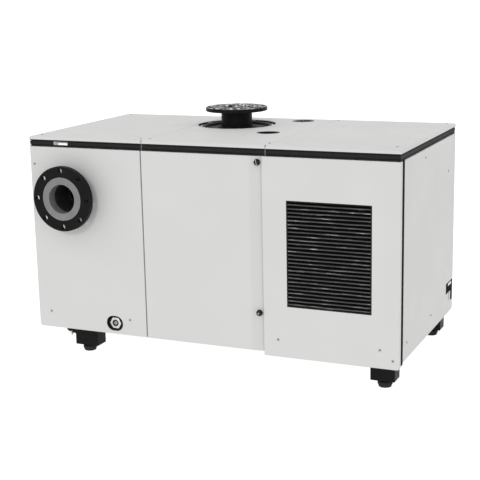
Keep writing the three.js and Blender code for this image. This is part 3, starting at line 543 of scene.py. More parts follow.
# ---------------------------------------------------------------- solids as objects

def meshed(name, part, clean=True):
    """The part as a mesh in metres with its faces outward."""
    points, faces = part
    mesh = bpy.data.meshes.new(name)
    mesh.from_pydata([tuple(c * MM for c in p) for p in points], [], faces)
    build = bmesh.new()
    build.from_mesh(mesh)
    bmesh.ops.remove_doubles(build, verts=build.verts, dist=1e-6)
    if clean:
        bmesh.ops.dissolve_degenerate(build, edges=build.edges, dist=1e-7)
    bmesh.ops.recalc_face_normals(build, faces=build.faces)
    build.to_mesh(mesh)
    build.free()
    return mesh


def piece(name, part, body, material, replaces=()):
    """Makes the part an object: smooth but for its sharp edges, riding on its body."""
    mesh = meshed(name, part)
    mesh.shade_smooth()
    mesh.set_sharp_from_angle(angle=math.radians(SHARP_ANGLE))
    mesh.materials.append(MATERIALS[material])
    made = shown(name, mesh)
    weighted = made.modifiers.new("even_normals", "WEIGHTED_NORMAL")
    weighted.keep_sharp = True
    weighted.weight = 60
    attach(made, body)
    if replaces:
        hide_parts(*replaces)
    return made


def sheet_metal(name, part, *replaces):
    piece(name, part, "cabinet", "paint", replaces)


def black_part(name, part, material, *replaces):
    piece(name, part, "cabinet", material, replaces)


def steel_part(name, part, material="zinc", *replaces):
    piece(name, part, "cabinet", material, replaces)


def cut(part, *cutters):
    """The part with the cutters taken out of it, as an exact boolean."""
    whole, *tools = [shown("cutting", meshed("cutting", solid, clean=False)) for solid in (part, *cutters)]
    for tool in tools:
        modifier = whole.modifiers.new("cut", "BOOLEAN")
        modifier.operation = "DIFFERENCE"
        modifier.solver = "EXACT"
        modifier.object = tool
    bpy.context.view_layer.update()
    result = whole.evaluated_get(bpy.context.evaluated_depsgraph_get()).to_mesh()
    points = [tuple(v.co / MM) for v in result.vertices]
    faces = [list(p.vertices) for p in result.polygons]
    for made in [whole, *tools]:
        mesh = made.data
        bpy.data.objects.remove(made)
        bpy.data.meshes.remove(mesh)
    return points, faces


# ---------------------------------------------------------------- fasteners, made along +Z

def pitted(outer, pit, floor):
    """A head: rings of its outside, and a blind recess of that outline down to floor."""
    points, faces = [], []

    def ring(outline, height):
        start = len(points)
        points.extend((a, b, height) for a, b in outline)
        return list(range(start, start + len(outline)))

    rings = [ring(outline, height) for outline, height in outer]
    for near, far in zip(rings, rings[1:]):
        faces.extend(band(near, far))
    mouth = ring(pit, outer[-1][1])
    bottom = ring(pit, floor)
    faces.extend(band(mouth, bottom))
    faces.extend(filled([(rings[0], outer[0][0])]))
    faces.extend(filled([(rings[-1], outer[-1][0]), (mouth, pit)]))
    faces.extend(filled([(bottom, pit)]))
    return points, faces


def round_outer(profile, steps=28):
    return [(circle(0, 0, radius, steps), height) for radius, height in profile]


def cap_screw(radius, height):
    """Socket head cap screw on a plain washer."""
    profile = [(radius, 1.5), (radius, height - 0.8), (radius - 0.25, height - 0.25), (radius - 0.9, height)]
    head = pitted(round_outer(profile), circle(0, 0, radius * 0.52, 6), height * 0.45)
    washer = turned([(0, 0), (radius * 1.55, 0), (radius * 1.55, 1.5), (0, 1.5)], 0.4, steps=28)
    return joined(head, washer)


def cross_outline(reach, half):
    return [(-half, -reach), (half, -reach), (half, -half), (reach, -half), (reach, half), (half, half),
            (half, reach), (-half, reach), (-half, half), (-reach, half), (-reach, -half), (-half, -half)]


def pan_screw(radius):
    """Low domed head with a cross recess."""
    height = radius * 0.45
    profile = [(radius, 0), (radius * 0.98, height * 0.35), (radius * 0.88, height * 0.75),
               (radius * 0.66, height)]
    return pitted(round_outer(profile, 24), cross_outline(radius * 0.5, radius * 0.13), height * 0.3)


def hex_head(across, height, washer=1.6):
    """Hexagon head with chamfered corners on a washer."""
    reach = across * 0.5 * 1.45
    disc = turned([(0, 0), (reach, 0), (reach, washer), (0, washer)], 0.4, steps=28)
    return joined(prism(hexagon(across), (washer, washer + height), ease=0.9), disc)


# ---------------------------------------------------------------- outer panels

FOLD = 4.0
LID_NOSE = 9.0
SEAM_FOLD = 1.2
GRILLE_BORDER = 18.0
OUTER_CORNER = 12
EXHAUST_HOLE = 97.0
POST_Y = (-379, -348)
POST_X = (806, 829.4)
SKIRT_Z = (104, 184)

FLANGE = Span("exhaust_flange")
DRAIN = Span("drain_plug")
INLET = Span("inlet_port")
COLLAR = Span("inlet_collar")
RIGHT_PANEL = Span("front_right_panel")
RIGHT_SIDE = Span("right_side_panel")
DOOR = Span("front_door")
FRONT = Span("front_left_panel").low.y
# The stepped cut-out at the right side's rear edge, as (y, z) boxes.
CABLE_NOTCH = [((352, 482), (206, 256)), ((435, 482), (160, 207)), ((400, 414), (170, 207))]
DRAIN_HOLE = ((-485, -404), (124.5, 191.5))
DRAIN_HOLE_CORNER = 33


def grille_hole(node):
    """The cut-out that a louvred insert fills, from its lip."""
    span = Span(node)
    return ((span.low.x + GRILLE_BORDER, span.high.x - GRILLE_BORDER),
            (span.low.z + GRILLE_BORDER, span.high.z - GRILLE_BORDER))


def build_panel(name, side, corners, holes=(), notches=()):
    """A sheet folded back all round, with its holes."""
    span = Span(name)
    face = {"front": span.low.y, "rear": span.high.y, "left": span.low.x, "right": span.high.x}[side]
    if side in ("left", "right"):
        across, depth = (span.low.y, span.high.y), span.size.x
    else:
        across, depth = (span.low.x, span.high.x), span.size.y
    rings = sheet_rings(across, (span.low.z, span.high.z), corners, [FOLD] * 4, depth)
    part = plate([rings, *holes], facing(side, face))
    sheet_metal(f"{name}_sheet", cut(part, *notches) if notches else part, name)


def build_panels():
    build_panel("front_left_panel", "front", [OUTER_CORNER, 0, 0, 0],
                [round_hole(FLANGE.centre.x, FLANGE.centre.z, EXHAUST_HOLE),
                 square_hole(*DRAIN_HOLE, DRAIN_HOLE_CORNER, 12)])
    build_panel("front_right_panel", "front", [0, OUTER_CORNER, 0, 0],
                [square_hole(*grille_hole("front_grille"))])
    build_panel("left_side_panel", "left", [0, OUTER_CORNER, 0, 0])
    notches = [block((RIGHT_SIDE.low.x - 2, RIGHT_SIDE.high.x + 2), y, z, 0.1) for y, z in CABLE_NOTCH]
    build_panel("right_side_panel", "right", [0, OUTER_CORNER, 0, 0], notches=notches)
    rebate = block((DOOR.high.x + 0.5, RIGHT_PANEL.low.x + 0.1), (FRONT + 3.6, FRONT + 19),
                   (DOOR.low.z + 1, DOOR.high.z - 1), 0.2)
    sheet_metal("latch_side_rebate", rebate)
    near, far = POST_X
    skirts = [block(x, POST_Y, SKIRT_Z, 0.5) for x in (POST_X, (-far, -near))]
    black_part("corner_post_skirts", joined(*skirts), "post")
    build_panel("rear_panel", "rear", [0] * 4, [square_hole(*grille_hole("rear_grille"))])


# ---------------------------------------------------------------- lid

LIFT_HOLE = 51.0
LIFT_PLACES = [(138.0, -29.0), (138.0, 398.0)]
LIFT_WELL_DEPTH = 92
LID_HOLE = 177.0
SHADE_GASKET = {"half": 1.5, "front": 12.6, "back": 6.0}


def build_top_covers():
    """The lid's three sheets, the black wells under the lifting holes and the black gaskets in the seams:
    both painted shade in those openings.
    """
    for name, outer_side in (("top_left_cover", 0), ("top_middle_cover", None), ("top_right_cover", 1)):
        span = Span(name)
        folds = [SEAM_FOLD, SEAM_FOLD, LID_NOSE, LID_NOSE]
        if outer_side is not None:
            folds[outer_side] = LID_NOSE
        boundaries = [sheet_rings((span.low.x, span.high.x), (span.low.y, span.high.y), [0] * 4,
                                  folds, span.size.z)]
        if name == "top_middle_cover":
            boundaries += [round_hole(x, y, LIFT_HOLE) for x, y in LIFT_PLACES]
        part = plate(boundaries, facing("top", span.high.z))
        if name != "top_right_cover":
            part = cut(part, rod("z", COLLAR.centre, LID_HOLE, (span.low.z - 2, span.high.z + 2), 144))
        sheet_metal(f"{name}_sheet", part, name)

    middle = Span("top_middle_cover")
    low = middle.low.z
    inner, outer, floor = LIFT_HOLE - 0.4, LIFT_HOLE + 0.8, low - LIFT_WELL_DEPTH
    well = [(inner, low - 0.2), (outer, low - 0.2), (outer, floor), (0, floor), (0, floor + 2),
            (inner, floor + 2), (inner, low - 0.2)]
    wells = [turned(well, 0.4, (x, y, 0), steps=64) for x, y in LIFT_PLACES]
    # black wells: painted shade in the lifting holes
    black_part("lifting_wells_shade", joined(*wells), "post")

    # black gaskets in the seams' gaps: painted shade for the gaps
    front, rear = middle.low.y + 0.8, middle.high.y - 0.8
    gaskets = []
    for x, end in ((middle.low.x - 2, COLLAR.centre.y - LID_HOLE - 4), (middle.high.x + 2, rear)):
        width = (x - SHADE_GASKET["half"], x + SHADE_GASKET["half"])
        gaskets.append(block(width, (front, front + 10), (low + 0.2, low + SHADE_GASKET["front"]), 0.3))
        gaskets.append(block(width, (front + 10.2, end), (low + 0.2, low + SHADE_GASKET["back"]), 0.3))
    black_part("lid_seam_shade_gaskets", joined(*gaskets), "post")


# ---------------------------------------------------------------- door

DOOR_BEND = 203.0
DOOR_RECESS = 8.0
DOOR_BEND_STEPS = 10
LATCH_ZS = {"upper": 896.0, "lower": 274.0}
LATCH_BORE = 6.3
HINGE_ZS = [800.0, 220.0]
HINGE = (-273.0, -390.0)
KNUCKLE = {"radius": 5.5, "bore": 3.4, "length": 28}


def door_recess(x):
    share = max(0.0, (x - DOOR_BEND) / (DOOR.high.x - DOOR_BEND))
    return DOOR_RECESS * share ** 2


def build_door():
    """The door's sheet: rows of points across it, bent back along its latch edge."""
    def row_points(a0, a1, b):
        inner = [DOOR_BEND + (a1 - DOOR_BEND) * i / DOOR_BEND_STEPS for i in range(DOOR_BEND_STEPS)]
        return [(x, b) for x in [a0, *inner, a1]]

    across, up = (DOOR.low.x, DOOR.high.x), (DOOR.low.z, DOOR.high.z)
    points, faces, numbered = [], [], []
    for corners, depth in sheet_rings(across, up, [0] * 4, [FOLD] * 4, DOOR.size.y):
        (a0, b0), (a1, _), (_, b1), _ = corners
        outline = row_points(a0, a1, b0) + row_points(a0, a1, b1)[::-1]
        numbered.append(list(range(len(points), len(points) + len(outline))))
        for x, z in outline:
            back = door_recess(x) * (1 - depth / DOOR.size.y)
            points.append((x, DOOR.low.y + depth + back, z))
    for near, far in zip(numbered, numbered[1:]):
        faces.extend(band(near, far))
    for ring in (numbered[0], numbered[-1]):
        half = len(ring) // 2
        low, high = ring[:half], ring[half:][::-1]
        faces.extend([low[i], low[i + 1], high[i + 1], high[i]] for i in range(half - 1))
    latches = [Span(f"door_latch_{place}").centre for place in LATCH_ZS]
    through = (DOOR.low.y - 5, DOOR.high.y + 5)
    holes = [rod("y", (at.x, 0, at.z), LATCH_BORE, through, 32) for at in latches]
    notches = [block((DOOR.low.x - 2, DOOR.low.x + SHEET + 0.5), (DOOR.low.y + FOLD + 0.4, DOOR.high.y + 2),
                     (z - 32, z + 4), 0.1) for z in HINGE_ZS]
    piece("front_door_sheet", cut((points, faces), *holes, *notches), "door", "paint_door_bend_shade",
          ["front_door"])
    build_door_fittings()


def build_door_fittings():
    """What is welded or glued inside the door: hinge knuckles, stiffeners and a foam sheet."""
    bore, radius = KNUCKLE["bore"], KNUCKLE["radius"]
    knuckles = []
    for z in HINGE_ZS:
        low, high = z + 0.6, z + KNUCKLE["length"]
        knuckles.append(turned([(bore, low), (radius, low), (radius, high), (bore, high), (bore, low)], 0.4,
                               (*HINGE, 0), steps=32))
        knuckles.append(block((HINGE[0] + 4.4, HINGE[0] + 34), (DOOR.low.y + SHEET + 0.2, HINGE[1] - 1.5),
                              (low, high), 0.4))
    piece("door_hinge_knuckles", joined(*knuckles), "door", "zinc")
    back = DOOR.low.y + SHEET
    rails = [block((DOOR.low.x + 60, 190), (back + 0.2, back + 9), (z - 14, z + 14), 0.8)
             for z in (DOOR.low.z + 90, DOOR.high.z - 90)]
    piece("door_stiffeners", joined(*rails), "door", "paint")
    foam = block((DOOR.low.x + 40, 186), (back + 0.2, back + 8), (DOOR.low.z + 116, DOOR.high.z - 116), 2.5)
    piece("door_acoustic_foam", foam, "door", "foam")


# ---------------------------------------------------------------- panel screws

def build_screws():
    """Cross-head screws that hold the panels and covers."""
    sunk = 0.1
    right, left = RIGHT_SIDE.high.x - sunk, Span("left_side_panel").low.x + sunk
    rear, top = Span("rear_panel").high.y - sunk, Span("top_right_cover").high.z - sunk
    groups = {
        "front_panel_screws": ((0, -1, 0), [
            (x, FRONT + sunk, z)
            for x, z in ((-766, 184), (-368, 181), (321, 168), (751, 171), (804, 131), (-809, 844))]),
        "side_panel_screws": ((1, 0, 0), [
            (right, y, z) for y, z in ((-294, 180), (-38, 886), (88, 186), (355, 770))]),
        "left_panel_screws": ((-1, 0, 0), [(left, y, z) for y in (-285, 85, 430) for z in (175, 885)]),
        "rear_panel_screws": ((0, 1, 0), [
            (x, rear, z) for x in (-760, -380, 0, 340, 770) for z in (140, 890)]),
        "top_cover_screws": ((0, 0, 1), [
            (x, y, top) for x, y in ((-308, -350), (-264, -350), (272, -341), (789, -310), (-795, -350),
                                     (-308, 452), (-272, 452), (290, 452), (795, 448), (-795, 448))]),
    }
    for name, (normal, places) in groups.items():
        steel_part(name, scattered(pan_screw(5.2), places, normal), "screw")


# ---------------------------------------------------------------- top rails and nameplate

# (depth, height) round the moulding's section: a channel with a bulged face between two grooves.
RAIL_PROFILE = [
    (0, 0), (28, 0), (28, 8), (9, 8), (9, 20), (28, 20), (28, 28), (0, 28), (0, 24.1), (3.4, 23.5),
    (3.4, 22.1), (0.9, 21.1), (0.3, 17.5), (0.0, 14.0), (0.3, 10.5), (0.9, 6.9), (3.4, 5.9), (3.4, 4.5),
    (0, 3.9), (0, 0),
]
RAIL_JOINTS = (-280.0, 275.0)


def build_rails():
    """The ribbed black band: each rail's section runs between mitred ends."""
    front = Span("top_rail_front")
    side = Span("top_rail_right")
    x = (front.low.x, front.high.x)
    y = (side.low.y, side.high.y)
    bottom = front.low.z
    profile = eased(RAIL_PROFILE, 0.6, 2)[:-1]
    ends = {
        "front": lambda d: ((x[0] + d, y[0] + d), (x[1] - d, y[0] + d)),
        "rear": lambda d: ((x[0] + d, y[1] - d), (x[1] - d, y[1] - d)),
        "left": lambda d: ((x[0] + d, y[0] + d), (x[0] + d, y[1] - d)),
        "right": lambda d: ((x[1] - d, y[0] + d), (x[1] - d, y[1] - d)),
    }
    for place, end_points in ends.items():
        count = len(profile)
        points = [(*end_points(d)[end], bottom + height) for end in (0, 1) for d, height in profile]
        rings = [list(range(count)), list(range(count, 2 * count))]
        faces = band(*rings) + filled([(rings[0], profile)]) + filled([(rings[1], profile)])
        piece(f"top_rail_{place}_moulding", (points, faces), "cabinet", "trim",
              [f"top_rail_{place}"])
    joints = [block((at - 0.8, at + 0.8), (y[0] - 0.4, y[0] + 0.4), (bottom + 0.5, bottom + 27.5), 0.2)
              for at in RAIL_JOINTS]
    piece("top_rail_joints", joined(*joints), "cabinet", "zinc_dull")
    levels = ((0.4, 0.0), (0.0, 0.4), (0.0, 1.2))
    # the nameplate's blank fields: name, x, height over the rail's foot, stand-off, material
    for name, across, (low, high), stand, material in (
            ("blank_nameplate", (-708, -637), (6.5, 22), 0.7, "badge"),
            ("nameplate_bright_field", (-684, -638), (8, 16.5), 1.0, "plate"),
            ("nameplate_square", (-706, -688), (8, 20.5), 1.0, "zinc_dull")):
        rings = rounded_rings(across, (bottom + low, bottom + high), 1.2, levels)
        piece(name, plate([rings], facing("front", y[0] - stand)), "cabinet", material)


# ---------------------------------------------------------------- gas ports

FLANGE_RADIUS = FLANGE.size.x / 2
BOLT_CIRCLE = 120.6
BOLT_HOLE = 11.0
BOLT_COUNT = 8
PIPE_BORE = 63.0
PIPE_MOUTH_DEPTH = 46


def edge_profile(radius, depth, ease=1.2, grow=-1):
    """Both rims of a round edge eased; grow is -1 for an outside edge and 1 for a hole."""
    return [(radius + grow * ease, 0), (radius + grow * ease * 0.3, ease * 0.3), (radius, ease),
            (radius, depth - ease), (radius + grow * ease * 0.3, depth - ease * 0.3),
            (radius + grow * ease, depth)]


def bolt_rings(a, b, start, profile):
    """Rings of each of the flange's bolt holes."""
    return [circle_rings(*place, profile, 32) for place in circle(a, b, BOLT_CIRCLE, BOLT_COUNT, start)]


def build_exhaust():
    """The front flange, counterbored for the pipe's grey mouth; its bolt holes flare at the back."""
    x, z = FLANGE.centre.x, FLANGE.centre.z
    thick = FLANGE.size.y
    counterbore = [(95.6, 0), (94.8, 0.4), (94.5, 1.2), (94.5, 13.5), (77.5, 13.5), (77.5, thick)]
    flared = [(11.9, 0), (11.2, 0.4), (BOLT_HOLE, 0.9), (BOLT_HOLE, thick - 10), (15, thick)]
    boundaries = [circle_rings(x, z, edge_profile(FLANGE_RADIUS, thick, 1.6), 160),
                  circle_rings(x, z, counterbore, 160), *bolt_rings(x, z, 0, flared)]
    ring = plate(boundaries, facing("front", FLANGE.low.y))
    black_part("exhaust_flange_ring", ring, "black", "exhaust_flange")

    pipe = Span("exhaust_pipe")
    mouth, base = pipe.low.y, pipe.high.y
    inner = mouth + PIPE_MOUTH_DEPTH
    rim = turned([
        (PIPE_BORE, mouth), (68.5, mouth), (70, mouth + 1.8), (86, mouth + 1.8), (87.5, mouth), (93, mouth),
        (93, mouth + 12), (76.5, mouth + 12), (76.5, inner), (PIPE_BORE, inner), (PIPE_BORE, mouth),
    ], 1.3, (x, 0, z), "y", 160)
    piece("exhaust_pipe_mouth", rim, "cabinet", "grey_rim", ["exhaust_pipe"])
    # past the grey mouth the tube is near black: painted shade for the depth of the bore
    bore, start = PIPE_BORE - 0.4, inner + 0.2
    tube = turned([(bore, start), (76.5, start), (76.5, base - 16), (82, base - 16), (82, base), (bore, base),
                   (bore, start)], 0.8, (x, 0, z), "y", 128)
    piece("exhaust_pipe_tube", tube, "cabinet", "bore_shade_black")


def build_inlet():
    """The top flange with its facing mottled with painted glints, its neck and the screws of its base."""
    x, y, top = INLET.centre.x, INLET.centre.y, INLET.high.z
    bottom = INLET.low.z
    thick = 18.0
    raised = 1.6
    bore = 62.5
    half_pitch = TURN / BOLT_COUNT / 2
    flange = plate([
        circle_rings(x, y, edge_profile(FLANGE_RADIUS, thick - raised, 1.4), 160),
        circle_rings(x, y, [(66, 0), (66, thick - raised)], 160),
        *bolt_rings(x, y, half_pitch, edge_profile(BOLT_HOLE, thick - raised, 0.8, 1)),
    ], facing("top", top - raised))
    under = top - thick
    neck = turned([
        (bore, bottom), (112, bottom), (112, bottom + 16), (76, bottom + 17), (70, bottom + 24),
        (70, under - 8), (75, under + 1), (75, under + 6), (bore, under + 6), (bore, bottom),
    ], 1.2, (x, y, 0), steps=128)
    face_ring = turned([
        (bore, under + 6.2), (65.8, under + 6.2), (65.8, top - raised + 0.1), (103.4, top - raised + 0.1),
        (102.4, top), (66.5, top), (bore, top - 3), (bore, under + 6.2),
    ], 0.5, (x, y, 0), steps=160)
    facing_ring = plate([
        circle_rings(x, y, [(137.8, 0), (138.1, 0.15), (138.1, 0.6)], 160),
        circle_rings(x, y, [(103.8, 0), (103.8, 0.6)], 160),
        *bolt_rings(x, y, half_pitch, [(12.1, 0), (12.1, 0.6)]),
    ], facing("top", top - raised + 0.4))
    piece("inlet_neck_casting", neck, "cabinet", "black", ["inlet_port"])
    piece("inlet_flange_ring", flange, "cabinet", "black")
    piece("inlet_flange_facing", facing_ring, "cabinet", "glint_speckled")
    piece("inlet_sealing_face", face_ring, "cabinet", "glint_speckled")
    bolts = [(a, b, bottom + 16) for a, b in circle(x, y, 96, 8, TURN / 16)]
    steel_part("inlet_base_screws", scattered(cap_screw(7, 9), bolts, (0, 0, 1)))
    build_collar(x, y)


def build_collar(x, y):
    """The rubber collar round the neck, its two screws, and the inlet's valve plate below."""
    low, high = COLLAR.low.z, COLLAR.high.z
    brim = low + 8.3
    collar = turned([
        (74, low), (192, low), (192, brim), (176.2, brim), (176.2, brim + 8), (147, brim + 8),
        (145, brim - 1), (104, brim - 2.2), (92, brim + 0.5), (83, high), (74, high), (74, low),
    ], 1.4, (x, y, 0), steps=144)
    piece("inlet_collar_moulding", collar, "cabinet", "collar", ["inlet_collar"])
    screws = [(a, b, brim + 7.9) for a, b in circle(x, y, 160, 2, TURN / 16)]
    steel_part("inlet_collar_screws", scattered(pan_screw(6.5), screws, (0, 0, 1)))
    valve = Span("inlet_valve")
    foot, top = valve.low.z, valve.high.z
    disc = turned([
        (0, foot), (6, foot), (6, top - 14), (16, top - 12), (68, top - 12), (70, top - 5), (62, top - 2),
        (14, top - 2), (12, top), (0, top),
    ], 1.0, (x, y, 0))
    piece("inlet_valve_plate", disc, "inlet_plate", "aluminium", ["inlet_valve"])


# ---------------------------------------------------------------- drain plug

DRAIN_HEX = {"across": 49.2, "height": 12.0, "pit": 15.5, "floor": 5.5}


def build_drain():
    """Hexagon plug set back in its hole: chamfered rim, a turned groove and a raised centre; the near-black
    ring on the groove's floor is painted shade.
    """
    x, z = DRAIN.centre.x, DRAIN.centre.z
    height = DRAIN_HEX["height"]
    seat = DRAIN.low.y + height
    rim = [(inset_outline(hexagon(DRAIN_HEX["across"]), inset), level)
           for inset, level in ((0, 0), (0, height - 2.4), (0.8, height - 0.8), (2.2, height))]
    head = pitted(rim, circle(0, 0, DRAIN_HEX["pit"], 40), DRAIN_HEX["floor"])
    core = turned([(0, 5.0), (8.2, 5.0), (8.2, 10.0), (3.6, 10.0), (3.6, 8.0), (0, 8.0)], 0.5, steps=40)
    groove = turned([(8.4, 5.1), (15.3, 5.1), (15.3, 5.9), (8.4, 5.9), (8.4, 5.1)], 0.2, steps=40)
    collar = turned([(10, -3.6), (21.5, -3.6), (21.5, 0.2), (10, 0.2), (10, -3.6)], 0.5, steps=64)
    place = aimed((x, seat, z), (0, -1, 0))
    steel_part("drain_plug_hexagon", moved(head, place), "zinc", "drain_plug")
    steel_part("drain_plug_centre", moved(core, place), "zinc_dull")
    # painted shade: a near-black ring on the pit's floor
    steel_part("drain_plug_groove_shade", moved(groove, place), "bore_shade_black")
    stem = rod("y", (x, 0, z), 11.0, (seat, DRAIN.high.y), 40)
    steel_part("drain_plug_seal", joined(moved(collar, place), stem), "zinc_dull")


# ---------------------------------------------------------------- latches

UPPER_TILT = 14.0


def build_latches():
    """Domed quarter-turn heads: a leaning slot in the upper one, a plain pin in the lower."""
    for place, z in LATCH_ZS.items():
        name, body = f"door_latch_{place}", f"latch_{place}"
        span = Span(name)
        x, front, back = span.centre.x, span.low.y, span.high.y
        base = front + 16.0
        head = turned([
            (0, front), (5.5, front + 0.4), (9, front + 2.2), (11.8, front + 6), (12.8, front + 10.5),
            (13, base), (5.6, base), (5.6, back - 3), (0, back - 3),
        ], 0.7, (x, 0, z), "y", 64)
        if place == "upper":
            centre = Vector((x, 0, z))
            leaning = (Matrix.Translation(centre) @ Matrix.Rotation(math.radians(-UPPER_TILT), 4, "Y")
                       @ Matrix.Translation(-centre))
            slot = moved(block((x - 2.2, x + 2.2), (front - 2, front + 3.4), (z - 15, z + 15), 0.1), leaning)
            head = cut(head, slot)
            bar = block((x - 2.1, x + 2.1), (front + 2.2, front + 4.6), (z - 10.5, z + 10.5), 0.2)
            insert = moved(bar, leaning)
        else:
            insert = turned([(0, front - 0.5), (3.6, front - 0.3), (4.2, front + 0.6), (0, front + 0.6)], 0.3,
                            (x, 0, z), "y", 32)
        piece(f"{name}_head", head, body, "trim", [name])
        piece(f"{name}_insert", insert, body, "zinc_dull")
        bar = block((x - 9, x + 9), (back - 5, back), (z - 2.5, z + 2.5), 0.5)
        nut = moved(hex_head(10, 3.4, 0.8), aimed((x, back - 12, z), (0, 1, 0)))
        piece(f"{name}_bar", joined(bar, nut), body, "zinc")


# ---------------------------------------------------------------- grilles

SLAT_STEPS = 28
SLAT_PITCH_SHARE = 0.62


def slat(section, x0, x1, z_wave, place):
    """A slat's section, (depth, z) points, swept from x0 to x1 with a slight wave in z."""
    points, rings = [], []
    for k in range(SLAT_STEPS + 1):
        x = x0 + (x1 - x0) * k / SLAT_STEPS
        rings.append(list(range(len(points), len(points) + len(section))))
        points.extend(place(x, z + z_wave(x), d) for d, z in section)
    faces = [f for near, far in zip(rings, rings[1:]) for f in band(near, far)]
    return points, faces + [rings[0], rings[-1]]


def build_grille(node_name, side, count):
    """A louvred insert: folded lip, frame flange and thin slats that are not quite straight."""
    span = Span(node_name)
    x, z = grille_hole(node_name)
    (x0, x1), (z0, z1) = x, z
    face = span.low.y if side == "front" else span.high.y
    inward = 1 if side == "front" else -1
    place = facing(side, face)
    lip = plate([
        rounded_rings((x0 + 0.4, x1 - 0.4), (z0 + 0.4, z1 - 0.4), 1.5,
                      ((0.5, 0.0), (0.1, 0.2), (0, 0.6), (0, 11.0))),
        rounded_rings((x0 + 5.4, x1 - 5.4), (z0 + 5.4, z1 - 5.4), 1.0,
                      ((-0.6, 0.0), (-0.1, 0.3), (0, 0.8), (0, 11.0))),
    ], place)
    flange = plate([
        rounded_rings((x0 - 17, x1 + 17), (z0 - 17, z1 + 17), 3, ((0, 2.6), (0, 4.1))),
        rounded_rings((x0 + 1, x1 - 1), (z0 + 1, z1 - 1), 1.5, ((0, 2.6), (0, 4.1))),
    ], place)
    black_part(f"{node_name}_frame", joined(lip, flange), "grille", node_name)

    pitch = (z1 - z0 - 12) / count
    lips, blades = [], []
    for i in range(count):
        low = z0 + 6 + (i + 0.16) * pitch
        back = low + SLAT_PITCH_SHARE * pitch
        lip = [(0.9, low - 0.1), (0.5, low + 1.4), (0.8, low + 4.2), (1.6, low + 4.8), (2.0, low + 0.6)]
        blade = [(2.0, low + 0.7), (1.8, low + 4.7), (10.8, back + 3.4), (11.2, back + 2.4)]

        def wave(at, row=i):
            return 0.35 * math.sin(0.021 * at + 1.9 * row) + 0.22 * math.sin(0.057 * at + 4.3 * row)

        lips.append(slat(lip, x0 + 5, x1 - 5, wave, place))
        blades.append(slat(blade, x0 + 5, x1 - 5, wave, place))
    black_part(f"{node_name}_louvre_lips", joined(*lips), "louvre")
    # blades in the near-black finish: black paint, made darker as painted shade in the gaps between the lips
    black_part(f"{node_name}_louvre_blades", joined(*blades), "post")
    depth = sorted((face + inward * 11.4, face + inward * 13.4))
    stays = [block((at, at + 3), depth, (z0 + 2, z1 - 2), 0.4)
             for at in (x0 + (x1 - x0) * share for share in (0.25, 0.5, 0.75))]
    black_part(f"{node_name}_stays", joined(*stays), "grille")


# ---------------------------------------------------------------- feet

FOOT = {"half_depth": 34, "reach": 52, "pad": 30.5, "pad_top": 21.5, "spindle_top": 29.7}
# The left brackets' sloping ear: its underside's height at both ends, and its nut's place from the tip.
EAR = {"tip": 91, "root": 78, "nut_in": 17, "nut_forward": 22, "nut_z": 87.5}


def build_feet():
    for side in ("left", "right"):
        for end in ("front", "rear"):
            build_foot(f"{end}_{side}", side)


def build_foot(place, side):
    """A welded block under the base frame, its rubber pad and the pad's steel plate."""
    pad = Span(f"foot_pad_{place}")
    bracket = Span(f"foot_bracket_{place}")
    base = Span("base_frame")
    x, y = pad.centre.x, pad.centre.y
    top = Span("front_right_panel" if place == "front_right" else "front_left_panel").low.z - 0.5
    left, right, outer = x - FOOT["reach"], bracket.high.x, bracket.low.x
    seat = pad.high.z + 0.3
    outline = [(left, seat + 2), (left + 2, seat), (right - 3, seat), (right, seat + 3), (right, top)]
    if side == "left":
        outline = [(outer, top), (outer, EAR["tip"]), (left, EAR["root"])] + outline
    else:
        outline = [(left, top)] + outline
    depth = (-(y + FOOT["half_depth"]), -(y - FOOT["half_depth"]))
    body = prism(outline, depth, lambda a, b, along: (a, -along, b), 1.2)
    riser = block((x - 45, x + 30), (max(y - 20, base.low.y + 2), y + 33), (top - 0.5, base.low.z - 0.3), 0.5)
    black_part(f"foot_bracket_{place}_weldment", joined(body, riser), "black", f"foot_bracket_{place}")
    radius, low, high = FOOT["pad"], FOOT["pad_top"], FOOT["spindle_top"]
    rubber = turned([(0, 0), (25, 0), (26.5, 1.6), (27.5, 8), (30, 11), (radius, 13), (radius, 20.8),
                     (29.8, low), (0, low)], 0.8, (x, y, 0))
    piece(f"foot_pad_{place}_rubber", rubber, "cabinet", "rubber", [f"foot_pad_{place}"])
    disc = turned([(0, low), (radius, low), (radius, 25), (22, 25.4), (22, high), (0, high)], 0.8, (x, y, 0))
    steel_part(f"foot_pad_{place}_plate", disc, "black")
    if side == "left":
        nut_x, nut_y = outer + EAR["nut_in"], y - EAR["nut_forward"]
        nut = moved(hex_head(22, 10), aimed((nut_x, nut_y, EAR["nut_z"]), (0, 0, -1)))
        stud = turned([(0, 66), (4.6, 66), (5, 68), (5, 78), (0, 78)], 0.6, (nut_x, nut_y, 0), steps=24)
        steel_part(f"foot_{place}_fixing_nut", joined(nut, stud))


# ---------------------------------------------------------------- machinery inside the cabinet

PUMP_AXIS = (212.0, 430.0)
PUMP_RIBS = {"from": -236, "to": 180, "pitch": 26, "root": 191.6, "tip": 198.4, "width": 7}
MOTOR_AXIS = (-190.0, 380.0)
MOTOR_FINS = {"count": 60, "x": (432, 658), "half": 1.4, "radius": (151, 159)}
SIGHT_GLASS = (-214, 318)
OIL_FILLER = (-214, 610)
OIL_LINE_Y = 382
OIL_LINE_ZS = (290.0, 620.0)


